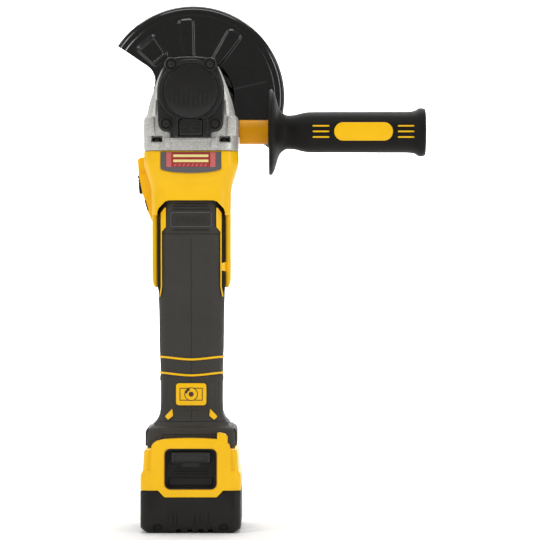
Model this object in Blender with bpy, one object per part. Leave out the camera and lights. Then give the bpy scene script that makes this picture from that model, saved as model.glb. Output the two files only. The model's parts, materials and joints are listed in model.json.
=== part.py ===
"""Cordless angle grinder, standing on its battery pack.

The tool's long axis is +Z and its head is at the top. The spindle runs along Y, with the wheel end at +Y
and the gear-case cover at -Y. The side handle is at +X. The origin is the centre of the pack's base.
Every size below is in millimetres; make_object turns them into metres.
"""

from math import asin, cos, degrees, pi, radians, sin, sqrt

import bmesh
import bpy
from mathutils import Matrix, Vector

METRES_PER_MM = 0.001
GAP = 0.3

# The two main axes: the spindle along Y at this height, and the motor along Z at this depth.
SPINDLE_Z = 330.0
MOTOR_Y = -3.0

# Heights of the joints between the big pieces.
LOWER_CASE_TOP = 31.7
DECK_Z = 63.0
FOOT_BOTTOM = 63.4
HANDLE_BOTTOM = 83.0
HANDLE_TOP = 248.7
HOUSING_BOTTOM = 249.0
HOUSING_TOP = 286.0

# Battery pack.
PACK_FRONT = -46.0
PACK_BACK = 69.0
PACK_HALF_WIDTH = 37.7
CELL_RADIUS = 9.1
CELL_LENGTH = 65.0
RAIL_NECK_HALF = 17.0
RAIL_HEAD_HALF = 21.0
RAIL_HEAD_BOTTOM = 67.2
RAIL_TOP = 73.0

# Gear case, cover and spindle nose.
CASE_FRONT = -37.0
CASE_BACK = 20.0
COVER_FACE = -43.0
CHAMBER_RADIUS = 21.3
COVER_SCREWS = ((-14.4, 20.4), (14.4, 20.4), (-18.2, -23.9), (18.2, -23.9))
CASE_SCREWS = ((-25.5, -29.0), (25.5, -29.0), (-25.5, 19.0), (25.5, 19.0))

# Bevel gears: both pitch cones meet where the spindle axis crosses the motor axis.
CROWN_TEETH = 24
PINION_TEETH = 6
CROWN_PITCH_RADIUS = 20.0
FACE_SHARE = 0.65
PINION_PITCH_RADIUS = CROWN_PITCH_RADIUS * PINION_TEETH / CROWN_TEETH
ADDENDUM = 0.75
DEDENDUM = 1.1
TIP_HALF = 0.3
ROOT_HALF = 0.8

# Guard.
GUARD_RADIUS = 70.6
GUARD_FACE = 33.0
SHEET = 1.6
SKIRT_END = 55.0
GUARD_START = -34.0
GUARD_END = 146.0
HUB_RADIUS = 31.0
COLLAR_INNER = 21.9
LEVER_PIVOT_RADIUS = 27.8
LEVER_PIVOT_ANGLE = 215.0

# Side handle, along X.
SIDE_Y = -8.0
SIDE_Z = 301.0
SIDE_START = 36.0
SIDE_END = 177.0

YELLOW = (0.90, 0.52, 0.012)
ORANGE = (0.85, 0.33, 0.008)
BLACK = (0.020, 0.019, 0.018)
SOFT_BLACK = (0.045, 0.042, 0.040)
GREY = (0.085, 0.080, 0.085)
COPPER = (0.60, 0.25, 0.10)


def clear_scene():
    for obj in list(bpy.data.objects):
        bpy.data.objects.remove(obj, do_unlink=True)


def material(name, color, roughness, metallic=0.0):
    made = bpy.data.materials.get(name) or bpy.data.materials.new(name)
    made.use_nodes = True
    shader = made.node_tree.nodes["Principled BSDF"]
    shader.inputs["Base Color"].default_value = (*color, 1.0)
    shader.inputs["Roughness"].default_value = roughness
    shader.inputs["Metallic"].default_value = metallic
    return made


def make_object(name, points, faces, look=None):
    """A mesh object from points in millimetres, its faces turned outwards."""
    mesh = bpy.data.meshes.new(name)
    mesh.from_pydata([Vector(point) * METRES_PER_MM for point in points], [], faces)
    shape = bmesh.new()
    shape.from_mesh(mesh)
    bmesh.ops.recalc_face_normals(shape, faces=shape.faces)
    shape.to_mesh(mesh)
    shape.free()
    obj = bpy.data.objects.new(name, mesh)
    bpy.context.scene.collection.objects.link(obj)
    if look:
        mesh.materials.append(look)
    return obj


def loft(name, loops, look=None):
    """Closed skin over loops of equal length, with flat ends."""
    count = len(loops[0])
    points = [point for loop in loops for point in loop]
    faces = [tuple(range(count)), tuple(range(len(points) - count, len(points)))]
    for row in range(len(loops) - 1):
        for i in range(count):
            after = (i + 1) % count
            low = row * count
            high = low + count
            faces.append((low + i, low + after, high + after, high + i))
    return make_object(name, points, faces, look)


def band(name, outer, inner, look=None):
    """Tube wall between an outer and an inner stack of loops."""
    count = len(outer[0])
    wall = [point for loop in outer for point in loop]
    lining = [point for loop in inner for point in loop]
    rings = [loop for loop in range(len(outer))] + [len(outer) + loop for loop in reversed(range(len(inner)))]
    faces = []
    for here, following in zip(rings, rings[1:] + rings[:1]):
        for i in range(count):
            after = (i + 1) % count
            faces.append((here * count + i, here * count + after, following * count + after, following * count + i))
    return make_object(name, wall + lining, faces, look)


def placed(across, along, at, axis):
    """A point from its two outline coordinates and its position along the axis."""
    if axis == "X":
        return (at, across, along)
    if axis == "Y":
        return (across, at, along)
    return (across, along, at)


def prism(name, outline, low, high, axis, look=None, bevel=0.0):
    """Outline pushed from low to high along an axis, with an optional chamfer on the high end's rim."""
    loops = [[placed(u, v, low, axis) for u, v in outline]]
    if bevel:
        step = bevel if high > low else -bevel
        loops.append([placed(u, v, high - step, axis) for u, v in outline])
        outline = shrunk(outline, bevel)
    loops.append([placed(u, v, high, axis) for u, v in outline])
    return loft(name, loops, look)


def block(name, low, high, look=None):
    outline = [(low[0], low[1]), (high[0], low[1]), (high[0], high[1]), (low[0], high[1])]
    return prism(name, outline, low[2], high[2], "Z", look)


def turned(name, profile, centre, axis, look=None, steps=24):
    """Closed (radius, position) profile turned a full circle about an axis through centre."""
    rings = []
    for k in range(steps):
        angle = 2 * pi * k / steps
        rings.append([placed(centre[0] + r * cos(angle), centre[1] + r * sin(angle), t, axis) for r, t in profile])
    count = len(profile)
    points = []
    index = {}
    for k, ring in enumerate(rings):
        for i, point in enumerate(ring):
            shared = (0, i) if profile[i][0] == 0 else (k, i)
            if shared not in index:
                index[shared] = len(points)
                points.append(point)
            index[(k, i)] = index[shared]
    faces = []
    for k in range(steps):
        beside = (k + 1) % steps
        for i in range(count):
            after = (i + 1) % count
            corners = [index[(k, i)], index[(k, after)], index[(beside, after)], index[(beside, i)]]
            face = list(dict.fromkeys(corners))
            if len(face) > 2:
                faces.append(face)
    return make_object(name, points, faces, look)


def cylinder(name, radius, low, high, centre, axis, look=None, steps=24):
    return prism(name, circle(radius, steps, centre), low, high, axis, look)


def circle(radius, steps, centre=(0.0, 0.0)):
    return [polar(radius, 360.0 * k / steps, centre) for k in range(steps)]


def polar(radius, angle, centre=(0.0, 0.0)):
    return (centre[0] + radius * cos(radians(angle)), centre[1] + radius * sin(radians(angle)))


def arc(radius, start, end, steps, centre=(0.0, 0.0)):
    return [polar(radius, start + (end - start) * k / steps, centre) for k in range(steps + 1)]


def shrunk(outline, amount):
    """Outline with each corner moved inwards by amount."""
    area = sum(a[0] * b[1] - b[0] * a[1] for a, b in zip(outline, outline[1:] + outline[:1]))
    side = 1 if area > 0 else -1
    moved = []
    for before, here, after in zip(outline[-1:] + outline[:-1], outline, outline[1:] + outline[:1]):
        first = Vector((here[0] - before[0], here[1] - before[1])).normalized()
        second = Vector((after[0] - here[0], after[1] - here[1])).normalized()
        normal = Vector((-first.y - second.y, first.x + second.x)) * side
        scale = amount * 2 / max(normal.length_squared, 0.5)
        moved.append((here[0] + normal.x * scale, here[1] + normal.y * scale))
    return moved


def rounded(left, right, low, high, radius, steps=4):
    """Rectangle outline with rounded corners."""
    corners = ((right, high, 0), (left, high, 90), (left, low, 180), (right, low, 270))
    outline = []
    for across, along, start in corners:
        centre = (across - radius * (1 if across == right else -1), along - radius * (1 if along == high else -1))
        outline += arc(radius, start, start + 90, steps, centre)
    return outline


def level(half_width, front, back, radius, z, steps=4):
    """Rounded rectangle lying flat at height z."""
    return [(x, y, z) for x, y in rounded(-half_width, half_width, front, back, radius, steps)]


def mirrored(outline):
    """Right half of an outline, top to bottom, closed with its mirror image."""
    left = [(-x, z) for x, z in reversed(outline) if x]
    return list(outline) + left


def above(outline, base_z):
    return [(x, base_z + z) for x, z in outline]


def use(target, other, operation):
    modifier = target.modifiers.new(other.name, "BOOLEAN")
    modifier.operation = operation
    modifier.solver = "EXACT"
    modifier.object = other
    other.hide_render = True
    other.display_type = "WIRE"


def cut(target, *cutters):
    for cutter in cutters:
        use(target, cutter, "DIFFERENCE")


def join(target, *others):
    for other in others:
        use(target, other, "UNION")


def keep(target, region):
    use(target, region, "INTERSECT")


def set_origin(obj, point):
    """Puts the object's origin on a joint axis without moving the object."""
    offset = Vector(point) * METRES_PER_MM
    obj.data.transform(Matrix.Translation(-offset))
    obj.location = offset


def smooth(obj):
    obj.data.shade_smooth()
    obj.data.set_sharp_from_angle(angle=radians(32))


# ---- Head -------------------------------------------------------------------------------------------


def gear_case(alloy):
    """Cast body: wide band at the bottom, shoulders that taper to a domed top."""
    shape = (
        (286.3, 35.0, 25.5, 13), (287.2, 35.6, 25.5, 13), (300.6, 35.6, 25.5, 13), (302.4, 35.6, CASE_BACK, 12),
        (311.0, 35.0, CASE_BACK, 12),
        (318.0, 32.4, CASE_BACK, 11), (327.0, 29.6, CASE_BACK, 10), (337.0, 27.4, CASE_BACK, 9),
        (346.0, 24.2, CASE_BACK, 9), (352.0, 20.0, CASE_BACK, 9), (356.0, 14.5, 18.5, 9), (358.0, 9.2, 15.0, 8),
    )
    case = loft("gear_case", [level(half, CASE_FRONT, back, r, z) for z, half, back, r in shape], alloy)
    centre = (0.0, SPINDLE_Z)
    cut(
        case,
        cylinder("chamber_cut", CHAMBER_RADIUS, -40.0, 9.0, centre, "Y", steps=28),
        cylinder("bearing_cut", 17.8, 8.0, 22.0, centre, "Y", steps=28),
        cylinder("motor_bearing_cut", 11.3, 284.0, 299.3, (0.0, MOTOR_Y), "Z"),
        cylinder("pinion_way_cut", 6.6, 298.0, 314.0, (0.0, MOTOR_Y), "Z", steps=16),
        block("lock_way_cut", (-11.0, -40.0, 296.6), (9.2, -25.0, 322.0)),
        cylinder("side_stud_cut", 4.3, -38.0, -20.0, (SIDE_Y, SIDE_Z), "X", steps=16),
        cylinder("side_stud_cut_right", 4.3, 20.0, 38.0, (SIDE_Y, SIDE_Z), "X", steps=16),
    )
    for x, z in COVER_SCREWS:
        cut(case, cylinder("cover_screw_cut", 2.1, -40.0, -27.5, (x, SPINDLE_Z + z), "Y", steps=10))
    for x, y in CASE_SCREWS:
        side = 1 if x > 0 else -1
        wall = -1 if y < 0 else 1
        low = (min(x - 3.7 * side, x + 3.7 * side), min(y - 4.0 * wall, y + 12.0 * wall), 292.4)
        high = (max(x - 3.7 * side, x + 3.7 * side), max(y - 4.0 * wall, y + 12.0 * wall), 297.2)
        cut(case, block("case_pocket_cut", low, high))
        cut(case, cylinder("case_screw_cut", 2.2, 284.0, 294.0, (x, y), "Z", steps=10))
    for k in range(4):
        x, z = polar(24.2, 45 + 90 * k, centre)
        cut(case, cylinder("nose_screw_cut", 1.8, 11.0, 22.0, (x, z), "Y", steps=8))
    return case


COVER_OUTLINE = mirrored((
    (0.0, 26.2), (8.5, 25.9), (14.8, 24.8), (18.5, 22.0), (20.4, 18.4), (23.0, 11.5), (24.6, 6.0), (25.2, 0.0),
    (24.7, -9.0), (24.0, -24.0), (22.9, -27.8), (19.8, -30.0), (15.4, -30.4), (15.4, -35.0),
))


def gear_case_cover(plastic):
    """Black lid with a raised disc, a boss for the rear bush and a frame round the lock button."""
    centre = (0.0, SPINDLE_Z)
    outline = above(COVER_OUTLINE, SPINDLE_Z)
    cover = prism("gear_case_cover", outline, CASE_FRONT - GAP, COVER_FACE, "Y", plastic, bevel=1.2)
    disc = prism("cover_disc", circle(21.3, 32, centre), -42.0, COVER_FACE - 0.9, "Y", bevel=0.5)
    boss = cylinder("cover_boss", 9.0, -38.5, -25.0, centre, "Y", steps=20)
    join(cover, disc, boss)
    for side in (-1, 1):
        low, high = sorted((side * 9.6, side * 13.4))
        join(cover, block("cover_post", (low, -45.2, 296.4), (high, -42.0, 310.2)))
    cut(cover, cylinder("bush_cut", 7.0, -36.0, -24.0, centre, "Y", steps=20))
    cut(cover, block("button_cut", (-9.0, -50.0, 296.6), (9.0, -30.0, 309.6)))
    for x, z in COVER_SCREWS:
        cut(cover, cylinder("cover_hole_cut", 2.1, -50.0, -30.0, (x, SPINDLE_Z + z), "Y", steps=12))
    return cover


def cover_screws(steel):
    """Four screws that hold the cover on."""
    profile = ((0, -44.6), (1.3, -44.6), (1.3, -45.5), (3.0, -45.5), (3.0, -43.3), (1.8, -43.3), (1.8, -28.5), (0, -28.5))
    for number, (x, z) in enumerate(COVER_SCREWS, 1):
        turned(f"cover_screw_{number}", profile, (x, SPINDLE_Z + z), "Y", steel, steps=12)


def case_screws(steel):
    """Four long screws in side pockets that join the gear case to the motor housing."""
    profile = ((0, 272.0), (1.8, 272.0), (1.8, 292.7), (3.2, 292.7), (3.2, 295.8), (1.4, 295.8), (1.4, 294.8), (0, 294.8))
    for number, centre in enumerate(CASE_SCREWS, 1):
        turned(f"case_screw_{number}", profile, centre, "Z", steel, steps=12)


def spindle_nose(alloy):
    """Bearing retainer with the neck that the guard clamps on, and its four sunk screws' holes."""
    profile = ((9.6, 36.0), (21.5, 36.0), (21.5, 25.4), (27.0, 24.6), (27.0, 20.3), (14.0, 20.3), (14.0, 24.0), (9.6, 24.0))
    nose = turned("spindle_nose", profile, (0.0, SPINDLE_Z), "Y", alloy, steps=28)
    for k in range(4):
        centre = polar(24.2, 45 + 90 * k, (0.0, SPINDLE_Z))
        cut(nose, cylinder("nose_hole_cut", 2.3, 19.0, 26.0, centre, "Y", steps=8))
    return nose


def nose_screws(steel):
    profile = ((0, 12.0), (1.4, 12.0), (1.4, 21.0), (1.9, 21.0), (1.9, 24.6), (0, 24.6))
    for k in range(4):
        turned(f"nose_screw_{k + 1}", profile, polar(24.2, 45 + 90 * k, (0.0, SPINDLE_Z)), "Y", steel, steps=8)


def ring(name, inner, outer, low, high, centre, axis, look, steps=24):
    return turned(name, ((inner, low), (outer, low), (outer, high), (inner, high)), centre, axis, look, steps)


def spindle(steel):
    """Stepped shaft with a threaded end for the wheel, the thread shown as its outside diameter."""
    profile = (
        (0, -35.0), (4.0, -35.0), (4.0, -21.5), (5.6, -21.0), (5.6, 9.9), (7.5, 10.0), (7.5, 21.0), (8.6, 21.5),
        (8.6, 37.6), (6.9, 38.0), (6.9, 60.5), (6.0, 61.6), (0, 61.6),
    )
    made = turned("spindle", profile, (0.0, SPINDLE_Z), "Y", steel, steps=20)
    for side in (-1, 1):
        low, high = sorted((side * 6.9, side * 10.0))
        cut(made, block("flat_cut", (low, 24.0, SPINDLE_Z - 10), (high, 37.0, SPINDLE_Z + 10)))
    set_origin(made, (0, 0, SPINDLE_Z))
    return made


def toothed_ring(teeth, radius, shift, scale):
    """Angles and heights round a gear at one radius: two root corners and two tip corners for each tooth."""
    points = []
    for k in range(teeth):
        middle = 2 * pi * (k + shift) / teeth
        for across, is_tip in ((-ROOT_HALF, False), (-TIP_HALF, True), (TIP_HALF, True), (ROOT_HALF, False)):
            points.append((middle + across * scale / radius, is_tip))
    return points


def crown_gear(steel):
    """Large bevel gear, its teeth towards -Y and a gap at the bottom where the pinion meets it."""
    outer = CROWN_PITCH_RADIUS
    inner = outer * FACE_SHARE
    loops = []
    for radius in (inner, outer):
        scale = radius / CROWN_PITCH_RADIUS
        pitch = MOTOR_Y + PINION_PITCH_RADIUS * scale
        loop = []
        for angle, is_tip in toothed_ring(CROWN_TEETH, radius, 0.5, scale):
            y = pitch + (-ADDENDUM if is_tip else DEDENDUM) * scale
            loop.append((radius * sin(angle), y, SPINDLE_Z - radius * cos(angle)))
        loops.append(loop)
    back = [(x, 6.6, z) for x, _, z in loops[1]]
    rim = [(x * 6.0 / inner, 6.6, SPINDLE_Z + (z - SPINDLE_Z) * 6.0 / inner) for x, _, z in loops[0]]
    web = [(x, 2.4, z) for x, _, z in rim]
    gear = band("crown_gear", [loops[0], loops[1], back], [web, rim], steel)
    set_origin(gear, (0, 0, SPINDLE_Z))
    return gear


def pinion_gear(steel):
    """Small bevel gear on the motor shaft, a tooth towards +Y, with its hub below."""
    loops = [[(r * cos(a), MOTOR_Y + r * sin(a), z) for a, _ in toothed_ring(PINION_TEETH, 5.0, 1.5, 1.0)]
             for r, z in ((4.4, 300.4), (4.4, 309.4))]
    for share in (1.0, FACE_SHARE):
        radius = PINION_PITCH_RADIUS * share
        loop = []
        for angle, is_tip in toothed_ring(PINION_TEETH, radius, 1.5, share):
            r = radius + (ADDENDUM if is_tip else -DEDENDUM) * share
            loop.append((r * cos(angle), MOTOR_Y + r * sin(angle), SPINDLE_Z - CROWN_PITCH_RADIUS * share))
        loops.append(loop)
    gear = loft("pinion_gear", loops, steel)
    cut(gear, cylinder("pinion_bore_cut", 2.8, 299.0, 308.9, (0.0, MOTOR_Y), "Z", steps=12))
    set_origin(gear, (0, MOTOR_Y, 0))
    return gear


def spindle_lock(plastic):
    """Ribbed push button with an arm behind it and a pin that points at the crown gear."""
    button = block("spindle_lock_button", (-8.6, -45.0, 297.0), (8.6, -37.5, 309.2), plastic)
    stem = block("lock_stem", (-8.6, -38.5, 300.0), (-3.0, -31.5, 308.0))
    arm = block("lock_arm", (-8.6, -34.0, 300.0), (-4.0, -31.5, 321.5))
    pin = cylinder("lock_pin", 1.5, -32.0, -4.6, polar(11.2, 232.0, (0.0, SPINDLE_Z)), "Y", steps=10)
    join(button, stem, arm, pin)
    for z in (299.6, 302.4, 305.2):
        cut(button, block("grip_line_cut", (-9.5, -46.0, z), (9.5, -44.3, z + 1.0)))
    set_origin(button, (0, -38.0, 303.0))
    return button


def coil(name, centre, radius, wire, low, high, turns, axis, look):
    """Spring wire wound about an axis."""
    steps = 9
    rows = turns * steps
    loops = []
    for k in range(rows + 1):
        angle = 2 * pi * k / steps
        along = low + wire + (high - low - 2 * wire) * k / rows
        loop = []
        for side in range(4):
            turn = 2 * pi * side / 4
            r = radius + wire * cos(turn)
            across = (centre[0] + r * cos(angle), centre[1] + r * sin(angle))
            loop.append(placed(across[0], across[1], along + wire * sin(turn), axis))
        loops.append(loop)
    return loft(name, loops, look)


def backing_flange(steel):
    """Flange that the wheel sits against, with an undercut round the raised ring that centres it."""
    profile = (
        (7.2, 38.4), (14.0, 38.4), (14.0, 41.6), (20.0, 42.4), (20.0, 46.0), (11.7, 46.0), (11.7, 45.5), (11.1, 45.5),
        (11.1, 47.6), (7.2, 47.6),
    )
    made = turned("backing_flange", profile, (0.0, SPINDLE_Z), "Y", steel, steps=28)
    set_origin(made, (0, 0, SPINDLE_Z))
    return made


def clamp_nut(steel):
    """Round nut with two holes for a pin spanner."""
    nut = ring("clamp_nut", 7.2, 19.5, 48.2, 54.0, (0.0, SPINDLE_Z), "Y", steel, steps=28)
    for side in (-1, 1):
        cut(nut, cylinder("spanner_cut", 2.3, 50.0, 56.0, (side * 14.5, SPINDLE_Z), "Y", steps=10))
    set_origin(nut, (0, 0, SPINDLE_Z))
    return nut


# ---- Guard ------------------------------------------------------------------------------------------


def guard_sector(steel):
    """Half of a dished plate with a deep skirt, swept round the spindle axis."""
    profile = (
        (28.0, 33.0), (64.5, 33.0), (67.6, 34.1), (69.9, 36.9), (GUARD_RADIUS, 40.4), (GUARD_RADIUS, SKIRT_END),
        (GUARD_RADIUS - SHEET, SKIRT_END), (69.0, 40.6), (67.4, 36.1), (64.2, 34.6), (28.0, 34.6),
    )
    steps = 32
    loops = []
    for k in range(steps + 1):
        angle = GUARD_START + (GUARD_END - GUARD_START) * k / steps
        loops.append([(*polar(r, angle, (0.0, SPINDLE_Z)), y) for r, y in profile])
    return loft("wheel_guard", [[(x, y, z) for x, z, y in loop] for loop in loops], steel)


def guard_hub():
    """Full disc round the neck, with a curve that runs out into each end of the half plate."""
    fillet = 14.0
    reach = HUB_RADIUS + fillet
    turn = degrees(asin(fillet / reach))
    touch = sqrt(reach * reach - fillet * fillet)
    outline = [polar(touch, GUARD_START), *fillet_points(GUARD_START, -turn, reach, fillet)]
    outline += arc(HUB_RADIUS, GUARD_START - turn, GUARD_END + turn - 360.0, 22)[1:-1]
    outline += reversed(fillet_points(GUARD_END, turn, reach, fillet))
    outline += [polar(touch, GUARD_END), polar(47.0, GUARD_END - 3), polar(47.0, GUARD_END - 45)]
    outline += [polar(47.0, GUARD_START + 90), polar(47.0, GUARD_START + 45), polar(47.0, GUARD_START + 3)]
    hub = [(x, SPINDLE_Z + z) for x, z in outline]
    return prism("guard_hub", hub, GUARD_FACE + 0.05, GUARD_FACE + SHEET - 0.05, "Y")


def fillet_points(end_angle, turn, reach, fillet):
    """Points of the hollow curve from near the straight end edge to the hub circle."""
    centre = polar(reach, end_angle + turn)
    side = 1 if turn < 0 else -1
    first = end_angle + 90.0 * side
    last = end_angle + turn + 180.0
    sweep = (last - first + 180.0) % 360.0 - 180.0
    return arc(fillet, first, first + sweep, 6, centre)[1:]


def radial_panel(angle, start, end, inner_half, outer_half):
    """Raised rib on the guard, wider at its outer end, with its corners taken off."""
    along = Vector(polar(1.0, angle))
    across = Vector((-along.y, along.x))
    local = (
        (start, -inner_half + 2), (start + 2, -inner_half), (end - 3, -outer_half), (end, -outer_half + 3),
        (end, outer_half - 3), (end - 3, outer_half), (start + 2, inner_half), (start, inner_half - 2),
    )
    points = [along * u + across * v for u, v in local]
    outline = [(point.x, SPINDLE_Z + point.y) for point in points]
    return prism("guard_rib", outline, GUARD_FACE + 0.8, GUARD_FACE - 0.9, "Y", bevel=0.5)


def wheel_guard(steel):
    guard = guard_sector(steel)
    join(guard, guard_hub())
    for angle in (96.0, 57.0, 18.0):
        join(guard, radial_panel(angle, 34.0, 61.0, 4.5, 6.2))
    join(guard, radial_panel(131.0, 34.5, 57.5, 8.6, 10.2))
    cut(guard, cylinder("neck_cut", COLLAR_INNER, 31.0, 37.0, (0.0, SPINDLE_Z), "Y", steps=28))
    set_origin(guard, (0, 0, SPINDLE_Z))
    return guard


def guard_collar(steel):
    collar = ring("guard_collar", COLLAR_INNER, 24.4, 27.0, 32.7, (0.0, SPINDLE_Z), "Y", steel, steps=28)
    set_origin(collar, (0, 0, SPINDLE_Z))
    return collar


def guard_lever(steel):
    """Curved latch that swings out to free the guard, with a finger tab at its end."""
    outline = arc(26.0, 211.0, 256.0, 8) + [polar(33.5, 261.0), polar(33.5, 256.0), polar(30.5, 251.0)]
    outline += arc(30.2, 247.0, 209.0, 7)
    points = [(x, SPINDLE_Z + z) for x, z in outline]
    lever = prism("guard_lever", points, 29.3, 31.9, "Y", steel)
    pivot = polar(LEVER_PIVOT_RADIUS, LEVER_PIVOT_ANGLE, (0.0, SPINDLE_Z))
    join(lever, cylinder("lever_rivet", 1.6, 28.0, 32.7, pivot, "Y", steps=12))
    set_origin(lever, (pivot[0], 0, pivot[1]))
    return lever


# ---- Motor ------------------------------------------------------------------------------------------


def housing_leg(side):
    """Strip that runs down one side of the grip to a rounded tip."""
    shape = ((252.0, 20.0, 16.0), (225.0, 19.0, 14.5), (200.0, 17.5, 12.5), (188.0, 15.5, 10.5), (183.5, 12.0, 7.0))
    loops = []
    for z, front, back in shape:
        outer = 29.7 if z > 184 else 28.0
        low, high = sorted((side * 25.5, side * outer))
        loops.append([(x, y, z) for x, y in rounded(low, high, -front, back, 1.2, 2)])
    return loft("housing_leg", loops)


def motor_housing(plastic):
    """Yellow sleeve round the fan, with two side legs and the pod above the slide switch."""
    shape = (
        (HOUSING_BOTTOM, 30.0, -33.0, 28.0, 12), (257.0, 30.2, -33.2, 28.2, 12), (264.0, 31.8, -34.0, 28.6, 12),
        (272.0, 34.4, -35.2, 29.0, 12), (278.0, 35.6, -36.0, 29.0, 12), (HOUSING_TOP - 0.4, 35.6, -36.0, 29.0, 12),
        (HOUSING_TOP, 35.2, -35.6, 28.6, 12),
    )
    housing = loft("motor_housing", [level(half, front, back, r, z) for z, half, front, back, r in shape], plastic)
    join(housing, housing_leg(-1), housing_leg(1))
    pod = ((-41.0, 280.6), (-38.6, 282.0), (-33.5, 282.4), (-31.5, 269.0), (-40.4, 269.0))
    join(housing, prism("switch_pod", pod, -8.5, 14.5, "Y"))
    cut(housing, cylinder("fan_cut", 26.0, 240.0, 290.0, (0.0, MOTOR_Y), "Z", steps=32))
    cut(housing, block("link_cut", (-22.2, 8.6, 240.0), (-14.0, 14.2, 264.0)))
    cut(housing, block("knob_slot_cut", (-40.0, 8.6, 243.0), (-18.0, 14.2, 263.2)))
    cut(housing, prism("label_cut", label_outline(21.6, 0.5), -38.0, -34.6, "Y"))
    for x, y in CASE_SCREWS:
        cut(housing, cylinder("housing_screw_cut", 2.1, 270.5, 290.0, (x, y), "Z", steps=12))
    return housing


def label_outline(half, grow):
    """Top-heavy panel outline with a bowed bottom edge."""
    low = 271.4 - grow
    right = ((0.0, 285.0 + grow * 4), (half, 285.0 + grow * 4), (half, 273.6 - grow), (half - 7, low), (0.0, low - 1.2))
    return mirrored(right)


def label_panel(dark):
    return prism("label_panel", label_outline(21.2, 0.0), -35.0, -36.4, "Y", dark, bevel=0.2)


def stator(core):
    """Laminated ring with six inward poles."""
    made = cylinder("stator", 21.8, 205.0, 249.2, (0.0, MOTOR_Y), "Z", core, steps=32)
    star = []
    for k in range(6):
        middle = 60.0 * k
        star += [polar(13.4, middle - 20, (0, MOTOR_Y)), polar(13.4, middle + 20, (0, MOTOR_Y))]
        star += [polar(18.4, middle + 22, (0, MOTOR_Y)), polar(18.4, middle + 38, (0, MOTOR_Y))]
    cut(made, prism("slot_cut", star, 200.0, 255.0, "Z"))
    return made


def motor_shaft(steel):
    profile = (
        (0, 189.0), (2.9, 189.0), (2.9, 199.5), (3.9, 200.0), (3.9, 299.6), (2.5, 300.0), (2.5, 308.5), (0, 308.5),
    )
    shaft = turned("motor_shaft", profile, (0.0, MOTOR_Y), "Z", steel, steps=16)
    set_origin(shaft, (0, MOTOR_Y, 0))
    return shaft


def rotor(core):
    made = ring("rotor", 4.2, 12.2, 207.0, 248.0, (0.0, MOTOR_Y), "Z", core, steps=24)
    set_origin(made, (0, MOTOR_Y, 0))
    return made


def fan(plastic):
    """Cooling fan: thin disc with straight blades on its upper side."""
    blades = 9
    outline = []
    for k in range(blades):
        middle = 360.0 * k / blades
        outline += [polar(8.0, middle - 14), polar(23.4, middle - 1.6), polar(23.4, middle + 1.6), polar(8.0, middle + 14)]
    centred = [(x, MOTOR_Y + y) for x, y in outline]
    made = prism("fan", centred, 269.0, 280.0, "Z", plastic)
    join(made, cylinder("fan_disc", 24.2, 268.0, 269.8, (0.0, MOTOR_Y), "Z", steps=28))
    cut(made, cylinder("fan_bore_cut", 4.2, 260.0, 285.0, (0.0, MOTOR_Y), "Z", steps=16))
    set_origin(made, (0, MOTOR_Y, 0))
    return made


# ---- Handle -----------------------------------------------------------------------------------------

HANDLE_SHAPE = (
    (HANDLE_BOTTOM, 26.6, -28.0, 36.0), (85.6, 25.0, -26.4, 34.0), (88.6, 23.9, -25.4, 32.0), (96.0, 23.4, -25.0, 30.5),
    (118.0, 23.4, -25.0, 29.0), (140.0, 24.2, -25.4, 29.0), (165.0, 24.5, -26.2, 27.5), (183.0, 25.1, -27.4, 26.0),
    (215.0, 25.2, -29.0, 25.6), (HANDLE_TOP, 25.2, -29.6, 25.4),
)


def handle_loops(grow, low=HANDLE_BOTTOM, high=HANDLE_TOP):
    """Handle outline loops, grown outwards, between two heights."""
    heights = [row[0] for row in HANDLE_SHAPE if low < row[0] < high]
    loops = []
    for z in [low, *heights, high]:
        half, front, back = handle_section(z)
        loops.append(level(half + grow, front - grow, back + grow, 12.0 + grow, z))
    return loops


def handle_section(z):
    """Half width, front and back of the handle at a height."""
    for lower, upper in zip(HANDLE_SHAPE, HANDLE_SHAPE[1:]):
        if z <= upper[0]:
            share = max(0.0, (z - lower[0]) / (upper[0] - lower[0]))
            return [a + (b - a) * share for a, b in zip(lower[1:], upper[1:])]
    return HANDLE_SHAPE[-1][1:]


def handle_half(name, side, plastic):
    """One of two moulded shells that meet at X = 0."""
    half = loft(name, handle_loops(0.0), plastic)
    inner = [[(x, y, z) for x, y, z in loop] for loop in handle_loops(-2.6, 80.0, 189.0)]
    cut(half, loft("grip_hollow_cut", inner))
    cut(half, cylinder("stator_cut", 22.2, 200.6, 252.0, (0.0, MOTOR_Y), "Z", steps=32))
    cut(half, cylinder("rear_bearing_cut", 8.4, 191.6, 202.0, (0.0, MOTOR_Y), "Z", steps=20))
    cut(half, cylinder("wire_way_cut", 4.2, 185.0, 193.0, (0.0, MOTOR_Y), "Z", steps=12))
    if side < 0:
        cut(half, block("link_way_cut", (-22.2, 8.6, 185.0), (-14.0, 14.2, 252.0)))
    near, far = sorted((side * 0.15, side * 60.0))
    keep(half, block("half_region", (near, -60.0, 60.0), (far, 60.0, 260.0)))
    return half


def trim_ring(name, z, plastic):
    """Thin coloured ring laid round the grip."""
    return band(name, handle_loops(1.0, z - 1.0, z + 1.0), handle_loops(GAP, z - 1.0, z + 1.0), plastic)


def grip_insert(name, side, plastic):
    """Coloured strip down one edge of the grip's front, wide at the top and thin below."""
    strip = band(name, handle_loops(1.1, 176.0, 244.0), handle_loops(GAP, 176.0, 244.0), plastic)
    outline = [(17.6, 241.6), (20.4, 244.2), (22.9, 241.0), (22.9, 177.0), (21.8, 177.0), (21.8, 224.0), (17.6, 228.0)]
    keep(strip, prism("insert_region", [(side * x, z) for x, z in outline], -40.0, -15.0, "Y"))
    return strip


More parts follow.
